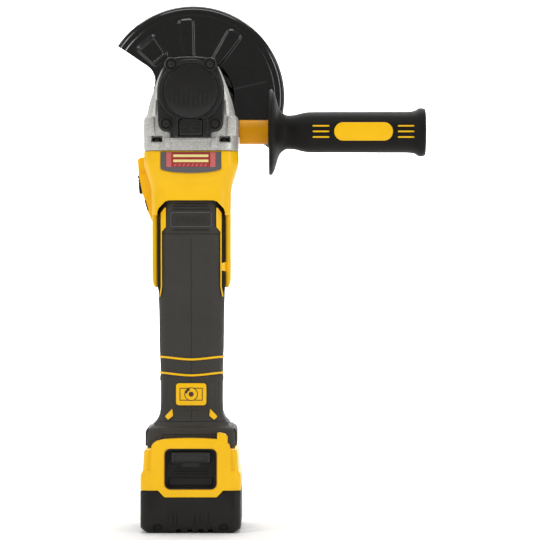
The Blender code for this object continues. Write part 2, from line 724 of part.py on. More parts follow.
def tail_wedge(name, side, plastic):
    """Small coloured wedge where the grip flares into the foot."""
    piece = band(name, handle_loops(1.1, 83.6, 93.0), handle_loops(GAP, 83.6, 93.0), plastic)
    outline = [(14.3, 92.2), (19.8, 86.4), (17.4, 84.0), (13.6, 87.0)]
    keep(piece, prism("wedge_region", [(side * x, z) for x, z in outline], -40.0, -12.0, "Y"))
    return piece


def tail_label(plastic):
    outline = rounded(-11.4, 11.4, 94.8, 111.4, 4.5, 3)
    return prism("tail_label", outline, -25.3, -26.5, "Y", plastic, bevel=0.4)


def switch_knob(plastic):
    """Slide knob on the left side, below its pod."""
    outline = [(-41.0, 267.4), (-40.6, 268.6), (-34.4, 268.6), (-34.4, 258.6), (-36.2, 254.6), (-39.8, 254.4)]
    knob = prism("switch_knob", outline, -7.0, 14.0, "Y", plastic)
    for z in (257.6, 260.2, 262.8, 265.4):
        cut(knob, block("knob_line_cut", (-43.0, -8.0, z), (-40.2, 15.0, z + 1.0)))
    set_origin(knob, (-34.0, 11.0, 260.0))
    return knob


def switch_link(plastic):
    """Bar inside the left side that carries the knob's movement down to the switch."""
    bar = block("switch_link", (-21.6, 9.4, 178.0), (-19.0, 13.4, 262.0), plastic)
    join(bar, block("link_arm", (-34.1, 9.4, 258.4), (-19.5, 13.4, 262.0)))
    set_origin(bar, (-34.0, 11.0, 260.0))
    return bar


def switch_body(plastic):
    body = block("switch_body", (-20.4, 6.0, 140.0), (-11.0, 17.5, 162.0), plastic)
    join(body, block("switch_plunger", (-20.0, 9.6, 161.0), (-16.0, 13.2, 168.6)))
    return body


def controller_board(green):
    """Circuit board with its large parts on it."""
    board = block("controller_board", (-16.5, -12.0, 104.0), (16.5, -10.2, 182.0), green)
    for z in (110.0, 124.0):
        join(board, cylinder("capacitor", 5.0, -10.8, 2.0, (6.0, z + 4.0), "Y", steps=12))
    for x in (-13.0, -4.0, 5.0):
        join(board, block("transistor", (x, -11.0, 150.0), (x + 7.0, -6.0, 166.0)))
    return board


# ---- Battery ----------------------------------------------------------------------------------------


def battery_foot(plastic):
    """Flared end of the tool with the channel that the pack's rails slide into."""
    shape = (
        (FOOT_BOTTOM, 32.2, -34.6, 64.6, 8), (65.4, 33.3, -35.8, 65.8, 8), (75.0, 33.3, -35.8, 65.8, 8),
        (78.4, 31.6, -33.6, 60.0, 9), (82.7, 26.7, -28.4, 40.0, 10),
    )
    foot = loft("battery_foot", [level(half, front, back, r, z) for z, half, front, back, r in shape], plastic)
    cut(foot, block("rail_neck_cut", (-17.4, -40.0, 60.0), (17.4, 62.0, 67.0)))
    cut(foot, block("rail_head_cut", (-21.4, -40.0, 66.8), (21.4, 62.0, 73.4)))
    cut(foot, block("catch_cut", (-6.6, -40.0, 72.0), (6.6, -26.0, 75.4)))
    cut(foot, cylinder("cable_cut", 6.0, 70.0, 90.0, (0.0, 12.0), "Z", steps=12))
    return foot


def terminal_block(dark):
    """Contact block at the closed end of the channel, with three blades."""
    made = block("terminal_block", (-15.0, 50.0, 67.6), (15.0, 61.7, 73.0), dark)
    for x in (-9.0, 0.0, 9.0):
        join(made, block("blade", (x - 0.5, 41.5, 68.6), (x + 0.5, 50.8, 72.4)))
    return made


def battery_lower_case(plastic):
    """Black tray with chamfered bottom corners, open at the top."""
    shape = ((0.0, 30.5, -40.5, 63.5, 5), (2.2, 34.0, -43.6, 66.6, 6), (6.5, PACK_HALF_WIDTH, PACK_FRONT, PACK_BACK, 6),
             (LOWER_CASE_TOP, PACK_HALF_WIDTH, PACK_FRONT, PACK_BACK, 6))
    case = loft("battery_lower_case", [level(half, front, back, r, z) for z, half, front, back, r in shape], plastic)
    cut(case, block("cell_tray_cut", (-34.6, -33.4, 3.0), (34.6, 63.0, 40.0)))
    tongue = [(-20.0, 26.6), (20.0, 26.6), (25.6, 32.6), (-25.6, 32.6)]
    cut(case, prism("tongue_cut", tongue, -50.0, -42.0, "Y"))
    return case


def battery_upper_case(plastic):
    """Yellow lid of the pack: deck, front wall with the latch recess, and the two undercut rails."""
    low = LOWER_CASE_TOP + GAP
    front = PACK_FRONT
    shape = ((low, PACK_HALF_WIDTH, front, PACK_BACK, 6), (44.0, PACK_HALF_WIDTH - 0.3, front, PACK_BACK, 6),
             (46.6, 35.8, front + 0.4, PACK_BACK - 1, 6), (60.6, 35.2, front + 0.4, PACK_BACK - 1, 6),
             (DECK_Z, 33.0, front + 1.4, PACK_BACK - 3, 6))
    case = loft("battery_upper_case", [level(half, f, back, r, z) for z, half, f, back, r in shape], plastic)
    wall = [(-29.4, 50.0), (29.4, 50.0), (29.4, 66.0), (27.6, 69.6), (20.0, 70.8), (-20.0, 70.8), (-27.6, 69.6), (-29.4, 66.0)]
    tab = [(19.6, 70.0), (27.6, 69.0), (27.6, 72.4), (26.4, 74.4), (21.6, 75.2), (19.6, 74.6)]
    tongue = [(-19.6, 27.0), (19.6, 27.0), (25.2, 33.0), (-25.2, 33.0)]
    join(
        case,
        prism("front_wall", wall, -37.0, front - 0.02, "Y", bevel=0.8),
        prism("front_tab", tab, -38.0, front + 0.2, "Y", bevel=0.6),
        prism("front_tongue", tongue, -42.6, front + 0.04, "Y"),
        block("rail_neck", (-RAIL_NECK_HALF, -34.6, 60.0), (RAIL_NECK_HALF, 49.6, 68.0)),
        block("rail_head", (-RAIL_HEAD_HALF, -34.6, RAIL_HEAD_BOTTOM), (RAIL_HEAD_HALF, 49.6, RAIL_TOP)),
    )
    cut(case, block("cell_room_cut", (-34.0, -33.4, 30.0), (34.0, 63.0, 44.4)))
    recess = rounded(-19.6, 19.6, 32.6, 63.2, 4.5, 3)
    cut(case, prism("latch_recess_cut", recess, -50.0, -39.4, "Y"))
    cut(case, block("latch_way_cut", (-6.6, -45.0, 46.0), (6.6, -26.4, 62.2)))
    cut(case, block("tooth_way_cut", (-6.6, -32.2, 60.0), (6.6, -26.4, 80.0)))
    for x in (-9.0, 0.0, 9.0):
        cut(case, block("blade_cut", (x - 1.2, 40.5, 68.0), (x + 1.2, 52.0, 80.0)))
    return case


def battery_latch(plastic):
    """Release button with a tooth behind it that holds the pack in the foot."""
    face = rounded(-14.9, 14.9, 52.2, 61.2, 2.0, 3)
    latch = prism("battery_latch", face, -40.0, -44.6, "Y", plastic, bevel=0.8)
    join(latch, block("latch_bridge", (-6.0, -41.0, 53.4), (6.0, -27.0, 57.4)))
    tooth = [(-31.4, 55.0), (-27.0, 55.0), (-27.0, 73.4), (-28.4, 74.8), (-31.4, 74.8)]
    join(latch, prism("latch_tooth", tooth, -6.0, 6.0, "X"))
    set_origin(latch, (0, -33.0, 57.0))
    return latch


def cell_row(name, z, steel):
    """Five cells in one row, held by a strip of spacer between neighbours."""
    pitch = 18.9
    start = -23.0
    row = None
    for k in range(5):
        cell = cylinder("cell", CELL_RADIUS, -CELL_LENGTH / 2, CELL_LENGTH / 2, (start + pitch * k, z), "X", steel, steps=12)
        if row is None:
            row = cell
            row.name = name
        else:
            join(row, cell)
    join(row, block("spacer", (-26.0, start, z - 2.0), (26.0, start + 4 * pitch, z + 2.0)))
    return row


# ---- Side handle ------------------------------------------------------------------------------------


def side_handle_grip(rubber):
    """Moulded grip turned about X: guard flange, waisted neck, long barrel and flared end."""
    profile = (
        (5.0, 58.3), (32.5, 58.6), (32.5, 61.2), (29.0, 63.2), (20.0, 65.6), (14.6, 68.4), (12.9, 71.4), (13.2, 78.0),
        (15.2, 85.0), (15.4, 90.0), (15.6, 166.0), (17.0, 170.0), (18.4, 171.4), (18.4, 175.6), (17.0, SIDE_END),
        (0.0, SIDE_END), (0.0, 100.0), (5.0, 100.0),
    )
    grip = turned("side_handle_grip", profile, (SIDE_Y, SIDE_Z), "X", rubber, steps=24)
    badge = rounded(107.0, 152.6, SIDE_Z - 7.4, SIDE_Z + 7.4, 6.8, 4)
    cut(grip, prism("badge_cut", badge, -40.0, SIDE_Y - 13.0, "Y"))
    return grip


def side_handle_badge(plastic):
    badge = rounded(107.6, 152.0, SIDE_Z - 6.9, SIDE_Z + 6.9, 6.4, 4)
    return prism("side_handle_badge", badge, SIDE_Y - 13.3, SIDE_Y - 15.6, "Y", plastic, bevel=0.5)


def side_handle_collar(plastic):
    """Bright collar between the gear case and the grip, with a tail inside the grip."""
    profile = ((4.4, SIDE_START), (9.2, SIDE_START), (9.2, 58.0), (4.7, 58.0), (4.7, 96.0), (4.4, 96.0))
    return turned("side_handle_collar", profile, (SIDE_Y, SIDE_Z), "X", plastic, steps=20)


def side_handle_stud(steel):
    return cylinder("side_handle_stud", 4.0, 21.0, 94.0, (SIDE_Y, SIDE_Z), "X", steel, steps=14)


# ---- Assembly ---------------------------------------------------------------------------------------


def build_head(looks):
    gear_case(looks["alloy"])
    gear_case_cover(looks["black"])
    cover_screws(looks["dark_steel"])
    case_screws(looks["dark_steel"])
    spindle_nose(looks["alloy"])
    nose_screws(looks["dark_steel"])
    ring("spindle_bearing", 7.8, 17.4, 10.4, 20.0, (0.0, SPINDLE_Z), "Y", looks["steel"], steps=24)
    ring("spindle_bush", 4.3, 6.7, -35.0, -25.4, (0.0, SPINDLE_Z), "Y", looks["steel"], steps=16)
    spindle(looks["steel"])
    crown_gear(looks["steel"])
    pinion_gear(looks["steel"])
    spindle_lock(looks["black"])
    coil("spindle_lock_spring", (2.6, 304.0), 3.2, 0.5, -37.0, -25.6, 4, "Y", looks["steel"])
    backing_flange(looks["dark_steel"])
    clamp_nut(looks["dark_steel"])


def build_guard(looks):
    wheel_guard(looks["gloss_black"])
    guard_collar(looks["steel"])
    guard_lever(looks["steel"])


def build_motor(looks):
    motor_housing(looks["yellow"])
    label_panel(looks["grey"])
    stator(looks["copper"])
    motor_shaft(looks["steel"])
    rotor(looks["dark_steel"])
    fan(looks["black"])
    ring("motor_front_bearing", 4.2, 11.0, 292.0, 299.0, (0.0, MOTOR_Y), "Z", looks["steel"])
    ring("motor_rear_bearing", 3.2, 8.1, 192.0, 198.0, (0.0, MOTOR_Y), "Z", looks["steel"], steps=20)


def build_handle(looks):
    for name, side in (("left", -1), ("right", 1)):
        handle_half(f"handle_{name}", side, looks["soft_black"])
        grip_insert(f"grip_insert_{name}", side, looks["yellow"])
        tail_wedge(f"tail_wedge_{name}", side, looks["yellow"])
    trim_ring("trim_ring_upper", 130.6, looks["yellow"])
    trim_ring("trim_ring_lower", 118.6, looks["yellow"])
    tail_label(looks["yellow"])
    switch_knob(looks["black"])
    switch_link(looks["black"])
    switch_body(looks["grey"])
    controller_board(looks["grey"])
    battery_foot(looks["soft_black"])
    terminal_block(looks["grey"])


def build_battery(looks):
    battery_lower_case(looks["black"])
    battery_upper_case(looks["yellow"])
    battery_latch(looks["black"])
    coil("battery_latch_spring", (0.0, -29.4), 1.9, 0.4, 46.4, 53.0, 3, "Z", looks["steel"])
    cell_row("cells_lower", 12.8, looks["grey"])
    cell_row("cells_upper", 32.0, looks["grey"])


def build_side_handle(looks):
    side_handle_grip(looks["soft_black"])
    side_handle_badge(looks["yellow"])
    side_handle_collar(looks["orange"])
    side_handle_stud(looks["steel"])


def main():
    clear_scene()
    looks = {
        "alloy": material("cast_alloy", (0.52, 0.52, 0.50), 0.42, 1.0),
        "steel": material("steel", (0.60, 0.60, 0.58), 0.30, 1.0),
        "dark_steel": material("dark_steel", (0.10, 0.10, 0.10), 0.35, 1.0),
        "gloss_black": material("gloss_black", (0.012, 0.012, 0.012), 0.18),
        "black": material("black_plastic", BLACK, 0.45),
        "soft_black": material("soft_black", SOFT_BLACK, 0.70),
        "grey": material("grey_plastic", GREY, 0.50),
        "yellow": material("yellow_plastic", YELLOW, 0.38),
        "orange": material("orange_plastic", ORANGE, 0.38),
        "copper": material("windings", COPPER, 0.45, 1.0),
    }
    build_head(looks)
    build_guard(looks)
    build_motor(looks)
    build_handle(looks)
    build_battery(looks)
    build_side_handle(looks)
    for obj in bpy.data.objects:
        if not obj.hide_render:
            smooth(obj)


main()
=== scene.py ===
"""The looks of a cordless angle grinder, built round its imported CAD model.

Sizes are in millimetres and heights run up the tool; to_mesh turns them into metres. The spindle runs along
Y at X = 0, the wheel end at +Y and the gear-case cover at -Y. The side handle is at +X.
"""

import json
from math import acos, asin, atan2, cos, degrees, hypot, pi, radians, sin, sqrt, tan

import bmesh
import bpy
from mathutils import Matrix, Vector

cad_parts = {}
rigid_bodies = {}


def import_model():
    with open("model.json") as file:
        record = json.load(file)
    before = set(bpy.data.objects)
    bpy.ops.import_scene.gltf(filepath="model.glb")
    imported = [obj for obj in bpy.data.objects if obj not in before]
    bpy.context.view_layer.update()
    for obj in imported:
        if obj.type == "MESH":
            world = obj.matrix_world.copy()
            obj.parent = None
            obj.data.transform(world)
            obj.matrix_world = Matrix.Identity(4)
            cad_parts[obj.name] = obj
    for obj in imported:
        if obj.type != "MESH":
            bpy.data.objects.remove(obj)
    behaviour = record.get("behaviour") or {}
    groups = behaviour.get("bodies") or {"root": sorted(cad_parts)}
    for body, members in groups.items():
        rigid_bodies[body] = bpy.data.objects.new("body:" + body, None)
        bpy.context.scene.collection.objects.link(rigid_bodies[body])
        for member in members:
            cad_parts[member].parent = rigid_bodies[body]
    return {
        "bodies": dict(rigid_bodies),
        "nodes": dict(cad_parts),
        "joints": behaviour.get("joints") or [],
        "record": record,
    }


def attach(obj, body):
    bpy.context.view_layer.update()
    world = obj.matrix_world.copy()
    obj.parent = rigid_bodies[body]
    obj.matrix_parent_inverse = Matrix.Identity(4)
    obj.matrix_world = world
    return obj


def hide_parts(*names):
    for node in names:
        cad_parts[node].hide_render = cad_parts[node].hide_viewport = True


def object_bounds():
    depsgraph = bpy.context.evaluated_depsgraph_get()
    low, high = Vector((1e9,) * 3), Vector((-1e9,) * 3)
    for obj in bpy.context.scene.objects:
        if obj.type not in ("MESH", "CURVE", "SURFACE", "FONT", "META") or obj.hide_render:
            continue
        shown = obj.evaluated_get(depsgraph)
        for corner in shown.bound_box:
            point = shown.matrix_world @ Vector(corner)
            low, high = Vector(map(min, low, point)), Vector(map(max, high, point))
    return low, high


for leftover in list(bpy.data.objects):
    bpy.data.objects.remove(leftover, do_unlink=True)
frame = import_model()
cad_low, cad_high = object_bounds()

MM = 0.001                        # metres in a millimetre
SHARP_ANGLE = 32.0                # degrees from which an edge counts as sharp

SPINDLE_Z = 330.0
SPINDLE = (0.0, SPINDLE_Z)        # the spindle's axis, as X and Z
MOTOR = (0.0, -3.0)               # the motor's axis, as X and Y
SIDE_Y = -8.0
SIDE_Z = 301.0
SIDE = (SIDE_Y, SIDE_Z)           # the side handle's axis, as Y and Z
GUARD_RADIUS = 70.6
CHAMBER_RADIUS = 21.3
COVER_SCREWS = ((-14.4, 20.4), (14.4, 20.4), (-18.2, -23.9), (18.2, -23.9))
CASE_SCREWS = ((-25.5, -29.0), (25.5, -29.0), (-25.5, 19.0), (25.5, 19.0))
NOSE_CIRCLE = 24.2                # radius that the bearing retainer's screws stand on


# ---- Points and outlines ----------------------------------------------------------------------------


def polar(radius, angle, centre=(0.0, 0.0)):
    """Point at a radius and an angle in degrees."""
    return (centre[0] + radius * cos(radians(angle)), centre[1] + radius * sin(radians(angle)))


def arc(radius, start, end, steps, centre=(0.0, 0.0)):
    """Points along an arc, both ends included."""
    return [polar(radius, start + (end - start) * k / steps, centre) for k in range(steps + 1)]


def circle(radius, steps, centre=(0.0, 0.0)):
    """Full circle as a closed outline."""
    return arc(radius, 0.0, 360.0, steps, centre)[:-1]


NOSE_SCREWS = [polar(NOSE_CIRCLE, 45 + 90 * k, SPINDLE) for k in range(4)]


def rounded(left, right, low, high, radius, steps=6):
    """Rectangle outline with rounded corners, anticlockwise from the right side."""
    corners = ((right, high, 0), (left, high, 90), (left, low, 180), (right, low, 270))
    outline = []
    for across, along, start in corners:
        centre = (across - radius * (1 if across == right else -1), along - radius * (1 if along == high else -1))
        outline += arc(radius, start, start + 90, steps, centre)
    return outline


def corner_reach(before, here, after, radius):
    """How far a corner's rounding may run along its two sides."""
    return min(radius, (before - here).length * 0.45, (after - here).length * 0.45)


def corner_curve(before, here, after, reach, steps):
    """Arc-like curve in place of a corner."""
    first = here + (before - here).normalized() * reach
    last = here + (after - here).normalized() * reach
    shares = [k / steps for k in range(steps + 1)]
    return [tuple(first * (1 - t) ** 2 + here * 2 * t * (1 - t) + last * t * t) for t in shares]


def softened(outline, radius, steps=4):
    """Outline with each corner replaced by a small arc-like curve."""
    made = []
    for corner in zip(outline[-1:] + outline[:-1], outline, outline[1:] + outline[:1]):
        corner = [Vector(point) for point in corner]
        made += corner_curve(*corner, corner_reach(*corner, radius), steps)
    return made


def on_side(side, outline):
    """Outline drawn for the right side, mirrored for the left where side is -1."""
    return [(side * x, z) for x, z in outline]


def rectangle(left, right, low, high):
    """Plain rectangle outline, anticlockwise."""
    return [(left, low), (right, low), (right, high), (left, high)]


def mirrored(outline):
    """Right half of an outline, top to bottom, closed with its mirror image."""
    return list(outline) + [(-x, z) for x, z in reversed(outline) if x]


def winding(outline):
    """1 for an anticlockwise outline and -1 for a clockwise one."""
    area = sum(a[0] * b[1] - b[0] * a[1] for a, b in zip(outline, outline[1:] + outline[:1]))
    return 1 if area > 0 else -1


def shrunk(outline, amount):
    """Outline with each corner moved inwards by amount."""
    side = winding(outline)
    moved = []
    for before, here, after in zip(outline[-1:] + outline[:-1], outline, outline[1:] + outline[:1]):
        first = Vector((here[0] - before[0], here[1] - before[1])).normalized()
        second = Vector((after[0] - here[0], after[1] - here[1])).normalized()
        normal = Vector((-first.y - second.y, first.x + second.x)) * side
        scale = amount * 2 / max(normal.length_squared, 0.5)
        moved.append((here[0] + normal.x * scale, here[1] + normal.y * scale))
    return moved


def inset_limit(outline):
    """Largest amount that every edge of an outline can move inwards before it vanishes."""
    limit = 1e9
    count = len(outline)
    sides = [Vector(outline[(k + 1) % count]) - Vector(outline[k]) for k in range(count)]
    turns = []
    for k in range(count):
        before, after = sides[k - 1], sides[k]
        cross = before.x * after.y - before.y * after.x
        turns.append(atan2(cross, before.dot(after)) * winding(outline))
    for k in range(count):
        closing = tan(turns[k] / 2) + tan(turns[(k + 1) % count] / 2)
        if closing > 1e-6:
            limit = min(limit, sides[k].length / closing)
    return limit


def placed(across, along, at, axis):
    """A point from its two outline coordinates and its position along the axis."""
    if axis == "X":
        return (at, across, along)
    if axis == "Y":
        return (across, at, along)
    return (across, along, at)


def ease(t):
    """0 to 1 with a gentle start and end."""
    t = min(1.0, max(0.0, t))
    return t * t * (3 - 2 * t)


def rise(value, start, end):
    """0 before start, 1 after end, smooth between; start may be above end."""
    return ease((value - start) / (end - start))


def groove(distance, width):
    """1 on a line, falling smoothly to 0 at half the width."""
    return 1.0 - ease(abs(distance) / (width / 2))


def inside(value, low, high, soft):
    """1 between low and high, with soft edges outside them."""
    return rise(value, low - soft, low) * rise(value, high + soft, high)


# ---- Meshes -----------------------------------------------------------------------------------------


def to_mesh(name, points, faces):
    """A mesh object from points in millimetres, its faces turned outwards."""
    mesh = bpy.data.meshes.new(name)
    mesh.from_pydata([Vector(point) * MM for point in points], [], faces)
    shape = bmesh.new()
    shape.from_mesh(mesh)
    bmesh.ops.recalc_face_normals(shape, faces=shape.faces)
    shape.to_mesh(mesh)
    shape.free()
    obj = bpy.data.objects.new(name, mesh)
    bpy.context.scene.collection.objects.link(obj)
    return obj


def loft(name, loops):
    """Closed skin over loops of equal length, with flat ends."""
    count = len(loops[0])
    points = [point for loop in loops for point in loop]
    faces = [tuple(range(count)), tuple(range(len(points) - count, len(points)))]
    for row in range(len(loops) - 1):
        for i in range(count):
            after = (i + 1) % count
            low = row * count
            high = low + count
            faces.append((low + i, low + after, high + after, high + i))
    return to_mesh(name, points, faces)


def band(name, outer, inner):
    """Tube wall between an outer and an inner stack of loops."""
    count = len(outer[0])
    points = [point for loop in outer + inner for point in loop]
    rings = [*range(len(outer)), *(len(outer) + k for k in reversed(range(len(inner))))]
    faces = []
    for here, following in zip(rings, rings[1:] + rings[:1]):
        for i in range(count):
            after = (i + 1) % count
            low, high = here * count, following * count
            faces.append((low + i, low + after, high + after, high + i))
    return to_mesh(name, points, faces)


def prism(name, outline, low, high, axis, bevel=0.0, steps=3):
    """Outline pushed from low to high along an axis, with an optional rounding on the high end's rim."""
    loops = [[placed(u, v, low, axis) for u, v in outline]]
    side = 1 if high > low else -1
    if bevel:
        bevel = min(bevel, 0.8 * inset_limit(outline))
    for k in range(steps + 1 if bevel else 1):
        turn = pi / 2 * k / steps
        rim = shrunk(outline, bevel * (1 - cos(turn))) if bevel else outline
        level = high - side * bevel * (1 - sin(turn)) if bevel else high
        loops.append([placed(u, v, level, axis) for u, v in rim])
    return loft(name, loops)


def block(name, low, high):
    """Box between two corners."""
    return prism(name, rectangle(low[0], high[0], low[1], high[1]), low[2], high[2], "Z")


def rounded_profile(profile, radius, steps=4):
    """Profile of a turned part with its corners rounded, except on the axis and where there is no room."""
    made = []
    for k, here in enumerate(profile):
        corner = [Vector(point) for point in (profile[k - 1], here, profile[(k + 1) % len(profile)])]
        reach = corner_reach(*corner, radius)
        if here[0] == 0 or reach < 0.02:
            made.append(tuple(here))
        else:
            made += corner_curve(*corner, reach, steps)
    return made


def turned(name, profile, centre, axis, steps=96, edge=0.0):
    """Closed (radius, position) profile turned a full circle about an axis through centre."""
    if edge:
        profile = rounded_profile(profile, edge)
    count = len(profile)
    points = []
    index = {}
    for k in range(steps):
        angle = 2 * pi * k / steps
        for i, (r, t) in enumerate(profile):
            shared = (0, i) if r == 0 else (k, i)
            if shared not in index:
                index[shared] = len(points)
                points.append(placed(centre[0] + r * cos(angle), centre[1] + r * sin(angle), t, axis))
            index[(k, i)] = index[shared]
    faces = []
    for k in range(steps):
        beside = (k + 1) % steps
        for i in range(count):
            after = (i + 1) % count
            corners = [index[(k, i)], index[(k, after)], index[(beside, after)], index[(beside, i)]]
            face = list(dict.fromkeys(corners))
            if len(face) > 2:
                faces.append(face)
    return to_mesh(name, points, faces)


def cylinder(name, radius, low, high, centre, axis, steps=48):
    """Round bar or hole about an axis through centre."""
    return prism(name, circle(radius, steps, centre), low, high, axis)


def work(target, others, operation):
    """Cuts or joins other solids with exact Booleans and removes them."""
    for other in others:
        modifier = target.modifiers.new(other.name, "BOOLEAN")
        modifier.operation = operation
        modifier.solver = "EXACT"
        modifier.object = other
    bpy.context.view_layer.update()
    graph = bpy.context.evaluated_depsgraph_get()
    made = bpy.data.meshes.new_from_object(target.evaluated_get(graph))
    target.modifiers.clear()
    target.data = made
    for other in others:
        bpy.data.objects.remove(other, do_unlink=True)


def cut(target, *cutters):
    work(target, cutters, "DIFFERENCE")


def join(target, *others):
    work(target, others, "UNION")


def keep(target, region):
    work(target, (region,), "INTERSECT")


def ease_edges(obj, width, angle=SHARP_ANGLE):
    """Rounds the piece's sharp edges with a narrow bevel."""
    modifier = obj.modifiers.new("edges", "BEVEL")
    modifier.width = width * MM
    modifier.segments = 2
    modifier.limit_method = "ANGLE"
    modifier.angle_limit = radians(angle)
    modifier.use_clamp_overlap = True
    return obj


# ---- Materials --------------------------------------------------------------------------------------


def node(tree, kind, inputs=(), **settings):
    """A new shader node with its settings made and its inputs given as (name, value or socket)."""
    made = tree.nodes.new(kind)
    for key, value in settings.items():
        setattr(made, key, value)
    for key, value in inputs:
        if isinstance(value, bpy.types.NodeSocket):
            tree.links.new(value, made.inputs[key])
        else:
            made.inputs[key].default_value = value
    return made


def noise(tree, place, scale, detail=3.0, rough=0.6):
    """Noise between 0 and 1 at a place."""
    made = node(tree, "ShaderNodeTexNoise",
                (("Vector", place), ("Scale", scale), ("Detail", detail), ("Roughness", rough)))
    return made.outputs["Fac"]


def remap(tree, value, low, high, start=0.0, end=1.0):
    """Value between low and high turned into a number from start to end."""
    made = node(tree, "ShaderNodeMapRange",
                (("Value", value), ("From Min", low), ("From Max", high), ("To Min", start), ("To Max", end)))
    return made.outputs["Result"]


def mixed(tree, share, first, second):
    """One colour turning into another by a share."""
    made = node(tree, "ShaderNodeMix", data_type="RGBA")
    tree.links.new(share, made.inputs[0])
    for socket, value in ((made.inputs[6], first), (made.inputs[7], second)):
        if isinstance(value, bpy.types.NodeSocket):
            tree.links.new(value, socket)
        else:
            socket.default_value = (*value, 1.0)
    return made.outputs[2]


def worn_and_sheened_edges(tree, radius, place):
    """Share of edge wear and painted edge highlight: 1 on convex and hollow edges, broken up by noise."""
    rounded_normal = node(tree, "ShaderNodeBevel", (("Radius", radius),), samples=4).outputs["Normal"]
    true_normal = node(tree, "ShaderNodeNewGeometry").outputs["Normal"]
    dot = node(tree, "ShaderNodeVectorMath", operation="DOT_PRODUCT")
    tree.links.new(rounded_normal, dot.inputs[0])
    tree.links.new(true_normal, dot.inputs[1])
    edge = remap(tree, dot.outputs["Value"], 0.97, 0.80)
    patches = remap(tree, noise(tree, place, 240.0, 4.0), 0.42, 0.62)
    both = node(tree, "ShaderNodeMath", (), operation="MULTIPLY")
    tree.links.new(edge, both.inputs[0])
    tree.links.new(patches, both.inputs[1])
    return both.outputs["Value"]


def finish_of(name, color, roughness, metallic=0.0, specular=0.5, grain=1800.0, depth=0.02, tint=0.10,
              spread=0.08, edge_wear_and_sheen=0.0, edge_wear_and_sheen_color=(0.5, 0.5, 0.5), speckle=0.0, coat=0.0):
    """Procedural finish: surface grain, slow colour and gloss variation, speckle, and edge wear mixed with a painted
    edge highlight.
    """
    made = bpy.data.materials.new(name)
    made.use_nodes = True
    tree = made.node_tree
    shader = tree.nodes["Principled BSDF"]
    shader.inputs["Metallic"].default_value = metallic
    shader.inputs["Specular IOR Level"].default_value = specular
    shader.inputs["Coat Weight"].default_value = coat
    shader.inputs["Coat Roughness"].default_value = 0.06
    place = node(tree, "ShaderNodeTexCoord").outputs["Object"]
    slow = noise(tree, place, 26.0, 2.0)
    fine = noise(tree, place, grain, 2.0)
    darker = tuple(part * (1 - tint) for part in color)
    lighter = tuple(min(1.0, part * (1 + tint)) for part in color)
    shade = mixed(tree, remap(tree, slow, 0.3, 0.7), darker, lighter)
    if speckle:
        bright = tuple(min(1.0, part * (1 + speckle)) for part in color)
        dark = tuple(part * (1 - speckle) for part in color)
        grainy = mixed(tree, remap(tree, fine, 0.35, 0.65), dark, bright)
        shade = mixed(tree, remap(tree, slow, 0.0, 1.0, 0.45, 0.65), shade, grainy)
    # Lighter colour on the edges: partly rubbed wear, partly a painted highlight standing for lit ridges.
    if edge_wear_and_sheen:
        worn_and_sheen = worn_and_sheened_edges(tree, 0.0006, place)
        shade = mixed(tree, remap(tree, worn_and_sheen, 0.0, 1.0, 0.0, edge_wear_and_sheen), shade, edge_wear_and_sheen_color)
    tree.links.new(shade, shader.inputs["Base Color"])
    gloss = remap(tree, noise(tree, place, 90.0, 3.0), 0.3, 0.7, roughness - spread / 2, roughness + spread / 2)
    tree.links.new(gloss, shader.inputs["Roughness"])
    bump = node(tree, "ShaderNodeBump", (("Height", fine), ("Strength", 0.5), ("Distance", depth * MM)))
    tree.links.new(bump.outputs["Normal"], shader.inputs["Normal"])
    return made


YELLOW = (0.95, 0.535, 0.004)
ORANGE = (0.99, 0.42, 0.002)
